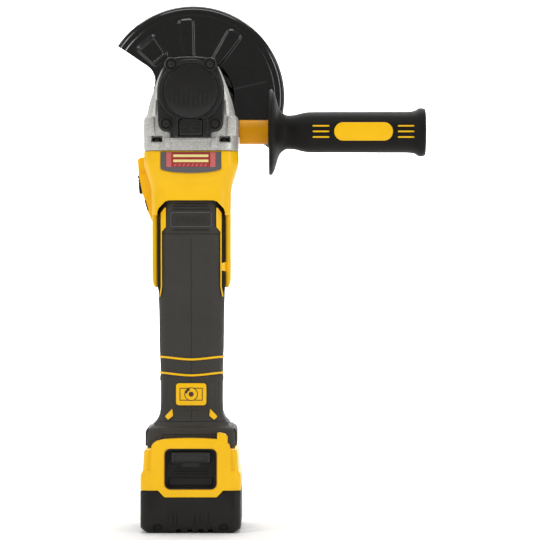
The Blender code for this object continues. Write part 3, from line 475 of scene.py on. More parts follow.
# Each finish: name, colour, roughness, metallic, specular, grain scale, grain depth, tint, spread of roughness,
# edge wear with its painted edge highlight, its colour, speckle and coat.
LOOKS = {
    "alloy": finish_of("cast_alloy", (0.58, 0.572, 0.54), 0.42, 0.45, 0.5, 1500.0, 0.16, 0.10, 0.12, 0.25,
                       (0.66, 0.66, 0.64), 0.42),
    "steel": finish_of("steel", (0.60, 0.60, 0.58), 0.30, 1.0, 0.5, 2600.0, 0.006, 0.06, 0.12, 0.3,
                       (0.75, 0.75, 0.73)),
    "dark_steel": finish_of("dark_steel", (0.040, 0.038, 0.036), 0.34, 0.9, 0.5, 2200.0, 0.01, 0.15, 0.14, 0.55,
                            (0.30, 0.30, 0.29)),
    "gloss_black": finish_of("gloss_black", (0.0050, 0.0048, 0.0042), 0.18, 0.0, 0.42, 60.0, 0.002, 0.1, 0.04, 0.0,
                             (0.04, 0.04, 0.04), 0.0, 0.4),
    "black": finish_of("black_plastic", (0.0125, 0.0118, 0.0105), 0.40, 0.0, 0.20, 2300.0, 0.03, 0.12, 0.1, 0.45,
                       (0.055, 0.054, 0.050), 0.18),
    "satin": finish_of("satin_black", (0.0090, 0.0085, 0.0076), 0.32, 0.0, 0.42, 1500.0, 0.003, 0.10, 0.06, 0.35,
                       (0.050, 0.048, 0.044), 0.1),
    "soft_black": finish_of("soft_black", (0.0110, 0.0104, 0.0096), 0.48, 0.0, 0.10, 2100.0, 0.05, 0.10, 0.1, 0.3,
                            (0.085, 0.082, 0.078), 0.2),
    "grip": finish_of("grip_rubber", (0.049, 0.046, 0.041), 0.56, 0.0, 0.14, 2100.0, 0.04, 0.12, 0.1, 0.25,
                      (0.07, 0.068, 0.062), 0.2),
    "grey": finish_of("grey_plastic", (0.105, 0.095, 0.102), 0.50, 0.0, 0.45, 2000.0, 0.03, 0.08, 0.1, 0.2,
                      (0.16, 0.155, 0.16), 0.12),
    "yellow": finish_of("yellow_plastic", YELLOW, 0.34, 0.0, 0.26, 1900.0, 0.018, 0.035, 0.08, 0.25,
                        (0.98, 0.72, 0.12)),
    "orange": finish_of("orange_plastic", ORANGE, 0.40, 0.0, 0.18, 1900.0, 0.018, 0.04, 0.08, 0.25,
                        (0.95, 0.52, 0.06)),
    "copper": finish_of("windings", (0.60, 0.25, 0.10), 0.42, 1.0, 0.5, 900.0, 0.05, 0.12, 0.1, 0.3,
                        (0.8, 0.45, 0.25)),
    "green": finish_of("board_green", (0.03, 0.14, 0.05), 0.45, 0.0, 0.5, 900.0, 0.02, 0.15, 0.1),
    "red": finish_of("label_red", (0.36, 0.028, 0.026), 0.42, 0.0, 0.45, 1400.0, 0.01, 0.08, 0.1),
    "pink": finish_of("label_pink", (0.60, 0.13, 0.125), 0.42, 0.0, 0.45, 1400.0, 0.01, 0.08, 0.1),
    "cream": finish_of("label_cream", (0.90, 0.78, 0.30), 0.42, 0.0, 0.45, 1400.0, 0.01, 0.05, 0.1),
    # Painted shade for the gap between the grip and the housing's legs.
    "dark": finish_of("painted_gap_shade", (0.006, 0.0045, 0.003), 0.6, 0.0, 0.1, 1400.0, 0.01, 0.1, 0.1),
    "mark": finish_of("dark_print", (0.055, 0.030, 0.012), 0.50, 0.0, 0.45, 1400.0, 0.01, 0.1, 0.1),
}


def done(obj, body, look, *nodes, angle=SHARP_ANGLE):
    """Finishes a piece: its look, smooth shading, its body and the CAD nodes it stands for."""
    obj.data.materials.clear()
    obj.data.materials.append(LOOKS[look])
    obj.data.shade_smooth()
    obj.data.set_sharp_from_angle(angle=radians(angle))
    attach(obj, body)
    if nodes:
        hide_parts(*nodes)
    return obj


# ---- Head -------------------------------------------------------------------------------------------

CASE_SHAPE = (
    (286.3, 35.0, 25.5, 12), (287.0, 35.5, 25.5, 12), (288.2, 35.6, 25.5, 12), (300.4, 35.6, 25.5, 10),
    (301.6, 35.6, 20, 9), (303.0, 35.6, 20, 9), (309.6, 35.5, 20, 9), (311.2, 34.9, 20, 9), (312.6, 33.4, 20, 9),
    (318.0, 32.2, 20, 9), (322.0, 31.2, 20, 8), (327.0, 29.6, 20, 6), (332.0, 28.0, 20, 5), (337.0, 26.1, 20, 4),
    (341.0, 24.5, 20, 4), (346.0, 22.3, 20, 4), (349.0, 20.5, 20, 4), (352.0, 17.9, 20, 4), (353.8, 15.4, 19.4, 4),
    (355.0, 12.6, 18.5, 4), (355.7, 9.2, 17.0, 4),
)
BOSS = ((26.6, 297.0), (34.2, 297.0), (34.4, 309.5), (31.0, 312.0), (27.4, 311.6))
LUG = ((15.4, 288.0), (19.6, 288.0), (19.6, 295.8), (15.4, 295.8))
SIDE_RIB = ((26.0, 313.0), (27.2, 313.0), (26.6, 324.0), (25.6, 324.0))
ARCH = ((33.4, 291.6), (21.4, 291.6), (21.4, 297.4), (25.0, 298.0), (30.0, 296.4))


def gear_case():
    """Cast body with a proud lower band, swelling corner bosses, screw pockets and small front lugs."""
    front = -37.0
    loops = [[(x, y, z) for x, y in rounded(-half, half, front, back, r, 8)] for z, half, back, r in CASE_SHAPE]
    case = loft("gear_case_body", loops)
    for side in (-1, 1):
        # Tall boss beside the cover, running down into the shoulder.
        boss = softened(on_side(side, BOSS), 1.6)
        join(case, prism("corner_boss", boss, -30.0, -38.4, "Y", bevel=2.2, steps=5))
        lug = softened(on_side(side, LUG), 0.8)
        join(case, prism("front_lug", lug, -34.0, -38.8, "Y", bevel=0.8))
        rib = softened(on_side(side, SIDE_RIB), 0.5)
        join(case, prism("side_rib", rib, -34.0, -37.9, "Y", bevel=0.4))
        # Arched hollow over each screw pocket.
        cut(case, prism("arch_cut", softened(on_side(side, ARCH), 1.6), -45.0, -34.9, "Y"))
    join(case, prism("base_lip", softened([(-16.0, 293.0), (16.0, 293.0), (15.0, 296.4), (-15.0, 296.4)], 1.0),
                     -34.0, -38.4, "Y", bevel=0.8))
    cut(
        case,
        cylinder("chamber_cut", CHAMBER_RADIUS, -40.0, 9.0, SPINDLE, "Y"),
        cylinder("bearing_cut", 17.8, 8.0, 22.0, SPINDLE, "Y"),
        cylinder("motor_bearing_cut", 11.3, 284.0, 299.3, MOTOR, "Z"),
        cylinder("pinion_way_cut", 6.6, 298.0, 314.0, MOTOR, "Z"),
        block("lock_way_cut", (-11.0, -40.0, 296.6), (9.2, -25.0, 322.0)),
        cylinder("stud_cut_left", 4.3, -38.0, -20.0, SIDE, "X"),
        cylinder("stud_cut_right", 4.3, 20.0, 38.0, SIDE, "X"),
    )
    for x, z in COVER_SCREWS:
        cut(case, cylinder("cover_screw_cut", 2.1, -40.0, -27.5, (x, SPINDLE_Z + z), "Y", steps=20))
    for x, y in CASE_SCREWS:
        wall = -1 if y < 0 else 1
        near, far = sorted((y - 4.0 * wall, y + 12.0 * wall))
        cut(
            case,
            block("case_pocket_cut", (x - 4.2, near, 292.6), (x + 4.2, far, 296.9)),
            cylinder("case_screw_cut", 2.2, 284.0, 294.0, (x, y), "Z", steps=20),
        )
    for place in NOSE_SCREWS:
        cut(case, cylinder("nose_screw_cut", 1.8, 11.0, 22.0, place, "Y", steps=16))
    ease_edges(case, 0.45)
    return done(case, "body", "alloy", "gear_case")


COVER_HALF = (
    (0.0, 26.2), (8.5, 25.9), (14.8, 24.8), (18.5, 22.0), (20.4, 18.4), (23.0, 11.5), (24.6, 6.0), (25.2, 0.0),
    (24.9, -9.0), (24.4, -24.0), (23.2, -27.6), (20.4, -29.8), (15.4, -30.4), (15.4, -34.6),
)
COVER_POST = ((9.5, 296.2), (13.4, 296.2), (13.4, 309.0), (12.0, 310.6), (9.5, 310.6))
DISC_RIBS_Z = SPINDLE_Z - 3.0     # middle height of the disc's ribs


def gear_case_cover():
    """Black lid: raised ring round a shallow disc, screw towers, and the frame round the lock button."""
    outline = [(x, SPINDLE_Z + z) for x, z in softened(mirrored(COVER_HALF), 2.2)]
    cover = prism("gear_case_lid", outline, -37.3, -43.0, "Y", bevel=1.3)
    join(cover, cylinder("cover_boss", 9.0, -38.5, -25.0, SPINDLE, "Y"))
    ring = ((21.6, -42.0), (21.6, -44.5), (23.9, -44.5), (24.8, -42.0))
    join(cover, turned("cover_ring", ring, SPINDLE, "Y", edge=0.6))
    join(cover, prism("cover_disc", circle(20.2, 96, SPINDLE), -42.0, -43.8, "Y", bevel=0.6))
    screw_ring = ((3.8, -41.0), (3.8, -44.6), (4.7, -44.6), (5.2, -41.0))
    for x, z in COVER_SCREWS:
        tower = (x, SPINDLE_Z + z)
        cut(cover, cylinder("screw_seat_cut", 4.0, -50.0, -41.6, tower, "Y"))
        join(cover, turned("screw_tower", screw_ring, tower, "Y", edge=0.4))
    for side in (-1, 1):
        post = softened(on_side(side, COVER_POST), 0.7)
        join(cover, prism("cover_post", post, -41.0, -45.6, "Y", bevel=0.6))
    join(cover, prism("cover_foot", softened([(-15.6, 295.6), (15.6, 295.6), (14.6, 297.4), (-14.6, 297.4)], 0.6),
                      -38.4, -43.6, "Y", bevel=0.5))
    # Plain moulded ribs across the disc.
    for k in range(9):
        x = -14.0 + 3.5 * k
        reach = sqrt(17.0 ** 2 - x * x) * 0.45
        rib = softened(rectangle(x - 0.5, x + 0.5, DISC_RIBS_Z - reach, DISC_RIBS_Z + reach), 0.3)
        join(cover, prism("disc_rib", rib, -43.2, -44.5, "Y", bevel=0.3))
    cut(cover, cylinder("bush_cut", 7.0, -36.0, -24.0, SPINDLE, "Y"))
    cut(cover, block("button_cut", (-9.0, -50.0, 296.6), (9.0, -30.0, 309.6)))
    for x, z in COVER_SCREWS:
        cut(cover, cylinder("cover_hole_cut", 2.1, -50.0, -30.0, (x, SPINDLE_Z + z), "Y", steps=24))
    return done(cover, "body", "satin", "gear_case_cover")


def socket_screw(name, centre, axis, head_radius, head_low, head_high, tip, shank=1.8):
    """Round-headed screw with a six-lobed socket."""
    side = 1 if head_high > head_low else -1
    profile = [(0, head_high), (head_radius * 0.8, head_high), (head_radius, head_high - side * 0.7),
               (head_radius, head_low), (shank, head_low), (shank, tip), (0, tip)]
    screw = turned(name, profile, centre, axis, 48, 0.2)
    star = [polar(head_radius * (0.50 if k % 2 else 0.36), 30 * k, centre) for k in range(12)]
    cut(screw, prism("socket_cut", softened(star, 0.4, 2), head_high - side * 1.0, head_high + side * 1.0, axis))
    return screw


def head_screws():
    """Screws that hold the cover and the gear case."""
    for number, (x, z) in enumerate(COVER_SCREWS, 1):
        screw = socket_screw(f"lid_screw_{number}", (x, SPINDLE_Z + z), "Y", 3.0, -43.3, -45.5, -28.5)
        done(screw, "body", "dark_steel", f"cover_screw_{number}")
    for number, centre in enumerate(CASE_SCREWS, 1):
        screw = socket_screw(f"housing_screw_{number}", centre, "Z", 3.2, 292.7, 295.8, 272.0)
        done(screw, "body", "dark_steel", f"case_screw_{number}")


def lock_button():
    """Spindle lock: ribbed face with a small round dimple, stem, arm and pin."""
    outline = [(-8.4, 297.1), (8.4, 297.1), (8.4, 308.0), (6.0, 309.1), (-6.0, 309.1), (-8.4, 308.0)]
    button = prism("lock_button", softened(outline, 0.8), -37.5, -45.0, "Y", bevel=0.7)
    for z in (299.4, 301.9, 304.4, 306.6):
        cut(button, block("grip_line_cut", (-7.4, -46.0, z), (7.4, -44.0, z + 1.1)))
    dimple = ((0.9, -43.0), (0.9, -45.1), (2.4, -45.1), (2.4, -43.0))
    join(button, turned("dimple", dimple, (0.0, 300.8), "Y", edge=0.2))
    join(
        button,
        block("lock_stem", (-8.6, -38.5, 300.0), (-3.0, -31.5, 308.0)),
        block("lock_arm", (-8.6, -34.0, 300.0), (-4.0, -31.5, 321.5)),
        cylinder("lock_pin", 1.5, -32.0, -4.6, polar(11.2, 232.0, SPINDLE), "Y", steps=24),
    )
    return done(button, "lock_button", "satin", "spindle_lock_button")


# ---- Guard ------------------------------------------------------------------------------------------

GUARD_START = -34.0
GUARD_END = 146.0
HUB_RADIUS = 31.0
FILLET = 14.0
REACH = HUB_RADIUS + FILLET
HUB_TURN = degrees(asin(FILLET / REACH))
TOUCH = sqrt(REACH * REACH - FILLET * FILLET)


def raised(radius, turn, start, end, inner_half, outer_half, soft, corner):
    """Height share of a pressed panel at a point given by its radius and its angle from the panel's middle.

    1 on top and 0 outside, with sloping sides and rounded corners.
    """
    along, across = polar(radius, turn)
    if along <= 0:
        return 0.0
    share = (along - start) / (end - start)
    half = inner_half + (outer_half - inner_half) * min(1.0, max(0.0, share))
    middle = (start + end) / 2
    du = abs(along - middle) - (end - start) / 2 + corner
    dv = abs(across) - half + corner
    distance = hypot(max(du, 0.0), max(dv, 0.0)) + min(max(du, dv), 0.0) - corner
    return 1.0 - ease((distance + soft) / soft)


def guard_height(radius, angle):
    """How far the pressed sheet stands towards the cover at a point of the guard's face."""
    height = 0.0
    for middle, rib_height in ((95.5, 1.25), (56.5, 1.25), (17.5, 0.1)):
        height += rib_height * raised(radius, angle - middle, 27.0, 61.0, 4.6, 7.2, 2.4, 4.8)
    # A wider pad with a hollow in its middle, by the guard's end.
    height += 1.3 * raised(radius, angle - 131.0, 36.0, 57.8, 7.9, 10.1, 2.4, 4.0)
    height -= 0.8 * raised(radius, angle - 131.0, 39.4, 54.6, 5.2, 7.2, 0.8, 1.6)
    # The face steps down just inside the shoulder.
    height -= 0.9 * rise(radius, 61.5, 64.5)
    return height


def guard_limits(radius):
    """First and last angle of the sheet at a radius: the half plate outside, hub and fillets inside."""
    if radius >= TOUCH:
        return GUARD_START, GUARD_END
    if radius <= HUB_RADIUS + 0.02:
        return GUARD_END + HUB_TURN - 360.0, GUARD_END + HUB_TURN
    # Edge of the hollow curve: a circle of FILLET about a point REACH from the axis.
    part = (radius * radius + REACH * REACH - FILLET * FILLET) / (2 * radius * REACH)
    turn = degrees(acos(min(1.0, part)))
    return GUARD_START - HUB_TURN + turn, GUARD_END + HUB_TURN - turn


def wheel_guard():
    """Pressed steel half plate with a deep skirt, hub hole, three ribs and a pad."""
    face = 33.9
    radii = [21.9 + 0.7 * k for k in range(59)] + [62.9 + 0.5 * k for k in range(4)]
    turns = [pi / 2 * k / 8 for k in range(1, 9)]
    shoulder = [(64.9 + 5.7 * sin(t), face + 0.9 + 5.4 * (1 - cos(t))) for t in turns]
    skirt = [(GUARD_RADIUS, y) for y in (42.0, 44.0, 46.5, 49.0, 51.5, 53.6)]
    rows = [(r, None) for r in radii] + shoulder + skirt
    columns = 420
    points, faces = [], []
    for r, y in rows:
        first, last = guard_limits(r)
        for k in range(columns + 1):
            angle = first + (last - first) * k / columns
            depth = y if y is not None else face - guard_height(r, angle)
            points.append((*polar(r, angle), depth))
    points = [(x, y, SPINDLE_Z + z) for x, z, y in points]
    for row in range(len(rows) - 1):
        for k in range(columns):
            a = row * (columns + 1) + k
            b = a + columns + 1
            faces.append((a, a + 1, b + 1, b))
    guard = to_mesh("guard_shell", points, faces)
    if guard.data.polygons[columns * 10].normal.y > 0:
        guard.data.flip_normals()
    thick = guard.modifiers.new("sheet", "SOLIDIFY")
    thick.thickness = 1.5 * MM
    thick.offset = -1.0
    thick.use_even_offset = False
    rim = guard.modifiers.new("round", "BEVEL")
    rim.limit_method = "ANGLE"
    rim.width = 0.3 * MM
    rim.angle_limit = radians(55)
    return done(guard, "guard", "gloss_black", "wheel_guard", angle=50.0)


def guard_parts():
    """Collar round the neck, and the latch lever with its rivet."""
    profile = ((21.9, 27.0), (24.4, 27.0), (24.4, 32.7), (21.9, 32.7))
    collar = turned("guard_clamp", profile, SPINDLE, "Y", edge=0.4)
    done(collar, "guard", "steel", "guard_collar")
    outline = arc(26.0, 211.0, 256.0, 24) + [polar(33.5, 261.0), polar(33.5, 256.0), polar(30.5, 251.0)]
    outline += arc(30.2, 247.0, 209.0, 22)
    lever = prism("guard_latch", [(x, SPINDLE_Z + z) for x, z in outline], 31.9, 29.3, "Y", bevel=0.3)
    rivet = ((0, 28.0), (1.6, 28.0), (1.6, 32.7), (0, 32.7))
    join(lever, turned("lever_rivet", rivet, polar(27.8, 215.0, SPINDLE), "Y", 32, 0.3))
    done(lever, "guard_lever", "steel", "guard_lever")


def wheel_end():
    """Bearing retainer, spindle with its cut thread, flange and nut."""
    profile = ((9.6, 36.0), (21.5, 36.0), (21.5, 25.4), (27.0, 24.6), (27.0, 20.3), (14.0, 20.3), (14.0, 24.0),
               (9.6, 24.0))
    nose = turned("bearing_retainer", profile, SPINDLE, "Y", edge=0.5)
    for place in NOSE_SCREWS:
        cut(nose, cylinder("nose_hole_cut", 2.3, 19.0, 26.0, place, "Y", steps=24))
    done(nose, "body", "alloy", "spindle_nose")

    thread = [(0, -35.0), (4.0, -35.0), (4.0, -21.5), (5.6, -21.0), (5.6, 9.9), (7.5, 10.0), (7.5, 21.0), (8.6, 21.5),
              (8.6, 37.6), (6.9, 38.0)]
    for k in range(13):
        start = 38.6 + 1.6 * k
        thread += [(6.9, start), (6.1, start + 0.55), (6.1, start + 0.75), (6.9, start + 1.3)]
    thread += [(6.9, 60.5), (6.0, 61.6), (0, 61.6)]
    shaft = turned("spindle_shaft", thread, SPINDLE, "Y", 64)
    for side in (-1, 1):
        low, high = sorted((side * 6.95, side * 10.0))
        cut(shaft, block("flat_cut", (low, 24.0, SPINDLE_Z - 10), (high, 37.0, SPINDLE_Z + 10)))
    done(shaft, "spindle", "steel", "spindle")

    profile = ((7.2, 38.4), (14.0, 38.4), (14.0, 41.6), (20.0, 42.4), (20.0, 46.0), (11.1, 46.0), (11.1, 47.6),
               (7.2, 47.6))
    flange = turned("wheel_flange", profile, SPINDLE, "Y", edge=0.35)
    done(flange, "spindle", "dark_steel", "backing_flange")
    profile = ((7.2, 48.2), (19.5, 48.2), (19.5, 54.0), (7.2, 54.0))
    nut = turned("pin_nut", profile, SPINDLE, "Y", edge=0.5)
    for side in (-1, 1):
        cut(nut, cylinder("spanner_cut", 2.3, 50.0, 56.0, (side * 14.5, SPINDLE_Z), "Y", steps=32))
    done(nut, "clamp_nut", "dark_steel", "clamp_nut")


# ---- Motor housing and handle -----------------------------------------------------------------------

HOUSING_SHAPE = (
    (238.0, 29.6, -33.0, 28.0), (249.0, 30.0, -33.0, 28.0), (253.0, 30.0, -33.0, 28.1), (257.0, 30.2, -33.2, 28.2),
    (260.5, 30.8, -33.5, 28.4),
    (264.0, 31.8, -34.0, 28.6), (268.0, 33.2, -34.6, 28.8), (272.0, 34.4, -35.2, 29.0), (275.0, 35.2, -35.7, 29.0),
    (278.0, 35.6, -36.0, 29.0), (281.5, 35.6, -36.0, 29.0), (285.2, 35.6, -36.0, 29.0), (286.0, 35.1, -35.5, 28.5),
)
HANDLE_SHAPE = (
    (83.0, 26.6, -28.0, 36.0), (84.3, 25.7, -27.1, 35.0), (85.6, 25.0, -26.4, 34.0), (87.2, 24.3, -25.8, 32.9),
    (88.6, 23.9, -25.4, 32.0), (92.0, 23.5, -25.1, 31.0), (96.0, 23.4, -25.0, 30.5), (118.0, 23.4, -25.0, 29.0),
    (140.0, 24.2, -25.4, 29.0), (165.0, 24.5, -26.2, 27.5), (183.0, 25.1, -27.4, 26.0), (199.0, 25.2, -28.3, 25.8),
    (215.0, 25.2, -29.0, 25.6), (232.0, 25.2, -29.4, 25.5), (248.7, 25.2, -29.6, 25.4),
)
CORNER = 12.0
GRIP_WALL = 2.6


def section(shape, z):
    """Half width, front and back of a shape at a height, by straight lines between its rows."""
    for lower, upper in zip(shape, shape[1:]):
        if z <= upper[0]:
            share = max(0.0, (z - lower[0]) / (upper[0] - lower[0]))
            return [a + (b - a) * share for a, b in zip(lower[1:], upper[1:])]
    return list(shape[-1][1:])


def upright_loop(half, front, back, z, columns=(44, 14, 26), radius=CORNER, relief=None):
    """Even loop round a rounded rectangle; relief says how far each point moves in along its outward normal.

    columns are the points along the front and back, round each corner, and along each side.
    """
    across, bend, deep = columns
    flat, near, far = half - radius, front + radius, back - radius
    side = back - front - 2 * radius
    stretches = (
        ((-flat, front), (2 * flat, 0.0), (0.0, -1.0), across, (flat, near), -90.0),
        ((half, near), (0.0, side), (1.0, 0.0), deep, (flat, far), 0.0),
        ((flat, back), (-2 * flat, 0.0), (0.0, 1.0), across, (-flat, far), 90.0),
        ((-half, far), (0.0, -side), (-1.0, 0.0), deep, (-flat, near), 180.0),
    )
    points = []
    for start, run, normal, count, corner, first_angle in stretches:
        points += [(start[0] + run[0] * k / count, start[1] + run[1] * k / count, *normal) for k in range(count)]
        for k in range(bend):
            nx, ny = polar(1.0, first_angle + 90.0 * k / bend)
            points.append((corner[0] + radius * nx, corner[1] + radius * ny, nx, ny))
    loop = []
    for x, y, nx, ny in points:
        depth = relief(x, y, z, nx, ny) if relief else 0.0
        loop.append((x - nx * depth, y - ny * depth, z))
    return loop


def label_outline(half, grow):
    """Panel outline with straight sides and a bowed bottom edge."""
    bottom = [(half * sin(radians(a)), 273.0 - grow - 3.6 * cos(radians(a))) for a in range(84, -1, -6)]
    return mirrored([(0.0, 285.0 + grow * 4), (half, 285.0 + grow * 4), (half, 275.2 - grow), *bottom])


def housing_relief(x, y, z, nx, ny):
    """Soft hollow in the yellow sleeve's front, below an arch under the label panel."""
    if ny >= -0.3:
        return 0.0
    arch = 266.0 - 3.2 * cos(min(pi / 2, abs(x) / 30.0 * pi / 2))
    return 0.7 * rise(z, arch + 3.0, arch - 1.0) * rise(abs(x), 31.0, 22.0)


LEG_SHAPE = (
    (252.0, 20.0, 16.0), (225.0, 19.0, 14.5), (200.0, 17.5, 12.5), (190.0, 15.9, 11.0), (186.0, 14.0, 9.0),
    (183.5, 11.0, 6.0),
)


def motor_housing():
    """Yellow sleeve round the fan, with two side legs and the pod above the slide switch."""
    heights = [238.0 + 0.75 * k for k in range(63)] + [285.2, 286.0]
    loops = [upright_loop(*section(HOUSING_SHAPE, z), z, relief=housing_relief) for z in heights]
    housing = loft("motor_sleeve", loops)
    for side in (-1, 1):
        legs = []
        for z, front, back in LEG_SHAPE:
            outer = 29.7 if z > 188 else 29.2 if z > 184 else 28.0
            low, high = sorted((side * 25.5, side * outer))
            legs.append([(x, y, z) for x, y in rounded(low, high, -front, back, 1.6, 5)])
        join(housing, loft("housing_leg", legs))
    # Room between the legs for the grip panel.
    panel = mirrored([(0.0, 249.0), (16.6, 249.0), (19.4, 248.1), (24.5, 243.0), (25.5, 240.4), (25.5, 230.0),
                      (0.0, 230.0)])
    cut(housing, prism("panel_cut", panel, -60.0, 60.0, "Y"))
    fairing = [(-26.0, 234.0), (-30.6, 234.0), (-33.2, 241.5), (-34.0, 247.0), (-34.0, 270.0), (-26.0, 270.0)]
    join(housing, prism("switch_fairing", softened(fairing, 0.6), 14.5, -8.5, "Y", bevel=0.5))
    lip = [(-28.0, 236.5), (-31.4, 236.5), (-33.4, 241.0), (-34.8, 245.2), (-35.8, 250.0), (-37.3, 254.6),
           (-39.8, 267.4), (-39.8, 270.0), (-28.0, 270.0)]
    join(housing, prism("switch_lip", softened(lip, 0.6), -7.6, -10.4, "Y", bevel=0.7))
    # The pod is rounded towards both ends, so it is made of a front and a back half.
    pod = softened([(-41.0, 280.4), (-38.6, 282.0), (-33.5, 282.4), (-31.5, 269.0), (-40.4, 269.0)], 0.9)
    join(housing, prism("switch_pod_front", pod, 3.0, -8.5, "Y", bevel=1.6))
    join(housing, prism("switch_pod_back", pod, 2.9, 14.5, "Y", bevel=1.6))
    cut(
        housing,
        cylinder("fan_cut", 26.0, 230.0, 290.0, MOTOR, "Z", steps=72),
        block("link_cut", (-22.2, 8.6, 240.0), (-14.0, 14.2, 264.0)),
        block("knob_slot_cut", (-40.0, 8.6, 243.0), (-18.0, 14.2, 263.2)),
        prism("label_cut", label_outline(22.9, 0.5), -38.0, -34.6, "Y"),
    )
    # Air slots in the right side.
    for k in range(5):
        z = 256.0 + 4.2 * k
        cut(housing, block("air_slot_cut", (27.5, 12.0, z), (40.0, 22.0, z + 1.9)))
    for x, y in CASE_SCREWS:
        cut(housing, cylinder("housing_screw_cut", 2.1, 270.5, 290.0, (x, y), "Z", steps=24))
    ease_edges(housing, 0.5, 38.0)
    return done(housing, "body", "yellow", "motor_housing")


def switch_seal():
    """Thin dark seal along the outer edge of the sleeve below the slide switch."""
    outline = softened([(-35.9, 249.4), (-35.0, 249.6), (-32.7, 241.8), (-33.5, 241.2)], 0.2)
    return done(prism("switch_seal", outline, -10.0, -10.8, "Y", bevel=0.1), "body", "black")


def housing_label():
    """Dark recessed panel with a plain striped red sticker."""
    panel = prism("housing_panel", label_outline(22.6, 0.0), -35.0, -36.4, "Y", bevel=0.25)
    done(panel, "body", "grey", "label_panel")
    red = prism("sticker", rounded(-18.2, 18.2, 273.9, 284.7, 0.5), -36.3, -36.52, "Y", bevel=0.06)
    done(red, "body", "red")
    for label, left, right in (("left", -18.4, -14.6), ("right", 14.6, 18.4)):
        edge = rounded(left, right, 273.8, 284.8, 0.3)
        done(prism(f"sticker_edge_{label}", edge, -36.3, -36.56, "Y", bevel=0.04), "body", "pink")
    for number, z in enumerate((278.2, 282.0), 1):
        bar = rounded(-13.2, 13.2, z - 0.75, z + 1.15, 0.4)
        done(prism(f"sticker_bar_{number}", bar, -36.4, -36.62, "Y", bevel=0.06), "body", "cream")
    for number in range(1, 9):
        x = -16.25 + 3.25 * number
        stripe = [(x, 274.3), (x + 1.3, 274.3), (x + 2.5, 276.2), (x + 1.2, 276.2)]
        done(prism(f"sticker_stripe_{number}", stripe, -36.4, -36.58, "Y"), "body", "pink")


def badge_distance(x, z):
    """Distance to the edge of the moulded badge on the grip's front, negative inside it."""
    du = abs(x) - 13.0
    dv = abs(z - 234.4) - 3.2
    return hypot(max(du, 0.0), max(dv, 0.0)) + min(max(du, dv), 0.0) - 2.4


def grip_relief(x, y, z, nx, ny):
    """Everything moulded into the grip's skin, as a depth below its outline."""
    depth = 0.0
    front = rise(-ny, 0.2, 0.6)
    edge = abs(x)
    # Middle seam down the front.
    depth += 0.45 * groove(x, 1.0) * rise(z, 222.0, 218.0) * front
    # Panel line under the badge, and the badge's sunk field.
    depth += 0.7 * groove(z - 223.6, 1.5) * rise(edge, 22.5, 21.5) * front
    depth += 0.35 * rise(badge_distance(x, z), 0.0, -0.8) * front
    # Top chamfer of the panel.
    depth += 1.3 * rise(z + max(0.0, edge - 17.0) * 0.95, 243.6, 249.2) * front
    # Line that marks off the ribbed sides of the tail.
    depth += 0.55 * groove(edge - 17.4 + 0.004 * (z - 104.0) ** 2, 1.2) * inside(z, 90.0, 116.4, 1.5) * front
    # Flat sides between the rings and the foot carry fine upright ribs, with a proud band above them.
    if abs(nx) > 0.35:
        zone = inside(z, 93.0, 114.6, 1.2) * (1 if y < 14 else 0)
        depth += 0.5 * zone * (0.5 + 0.5 * cos(2 * pi * y / 1.9))
        depth -= 0.6 * inside(z, 113.4, 116.6, 1.0) * (1 if y < 16 else 0)
    # Crease above the foot.
    depth += 0.35 * groove(z - 90.6 + 0.0022 * x * x, 1.4) * rise(edge, 16.0, 12.0) * front
    # Cross ribs down the back.
    if ny > 0.4:
        depth += 0.4 * inside(z, 128.0, 205.0, 2.0) * (0.5 + 0.5 * cos(2 * pi * z / 4.0)) * rise(edge, 15.0, 12.0)
    return depth


def handle_half(name, side, cad_name):
    """One of the two moulded shells that meet at X = 0."""
    heights = [83.0 + 0.7 * k for k in range(236)] + [248.7]
    loops = [upright_loop(*section(HANDLE_SHAPE, z), z, (64, 20, 40), CORNER, grip_relief) for z in heights]
    half = loft(name, loops)
    inner = []
    for z in [80.0] + [row[0] for row in HANDLE_SHAPE if 80.0 < row[0] < 189.0] + [189.0]:
        wide, front, back = section(HANDLE_SHAPE, max(z, 83.0))
        inner.append(upright_loop(wide - GRIP_WALL, front + GRIP_WALL, back - GRIP_WALL, z, (4, 8, 4),
                                  CORNER - GRIP_WALL))
    cutters = [
        loft("grip_hollow_cut", inner),
        cylinder("stator_cut", 22.2, 200.6, 252.0, MOTOR, "Z", steps=72),
        cylinder("rear_bearing_cut", 8.4, 191.6, 202.0, MOTOR, "Z"),
        cylinder("wire_way_cut", 4.2, 185.0, 193.0, MOTOR, "Z"),
    ]
    if side < 0:
        cutters.append(block("link_way_cut", (-22.2, 8.6, 185.0), (-14.0, 14.2, 252.0)))
    cut(half, *cutters)
    region = ((0.04, 60.0), (40.0, 60.0), (40.0, 226.6), (24.2, 243.0), (19.2, 247.8), (16.4, 248.7), (0.04, 248.7))
    keep(half, prism("half_region", on_side(side, region), -60.0, 60.0, "Y"))
    return done(half, "body", "grip", cad_name, angle=40.0)


def grown_loops(grow, low, high, count):
    """Stack of loops that follow the grip, moved out by grow."""
    loops = []
    for k in range(count + 1):
        z = low + (high - low) * k / count
        half, front, back = section(HANDLE_SHAPE, z)
        loops.append(upright_loop(half + grow, front - grow, back + grow, z, (44, 20, 26), CORNER + grow))
    return loops


def trim_ring(name, z, cad_name):
    """Bright ring laid round the grip, dipping a little at the front, with rounded edges."""

    def row(height, grow):
        loop = grown_loops(grow, z + height, z + height, 1)[0]
        return [(x, y, at + 1.9 * ease(abs(x) / 25.0) - 1.3) for x, y, at in loop]

    outer = [row(height, grow) for height, grow in
             ((-0.8, 0.45), (-0.65, 0.75), (-0.3, 0.9), (0.3, 0.9), (0.65, 0.75), (0.8, 0.45))]
    return done(band(name, outer, [row(-0.8, 0.05), row(0.8, 0.05)]), "body", "yellow", cad_name)


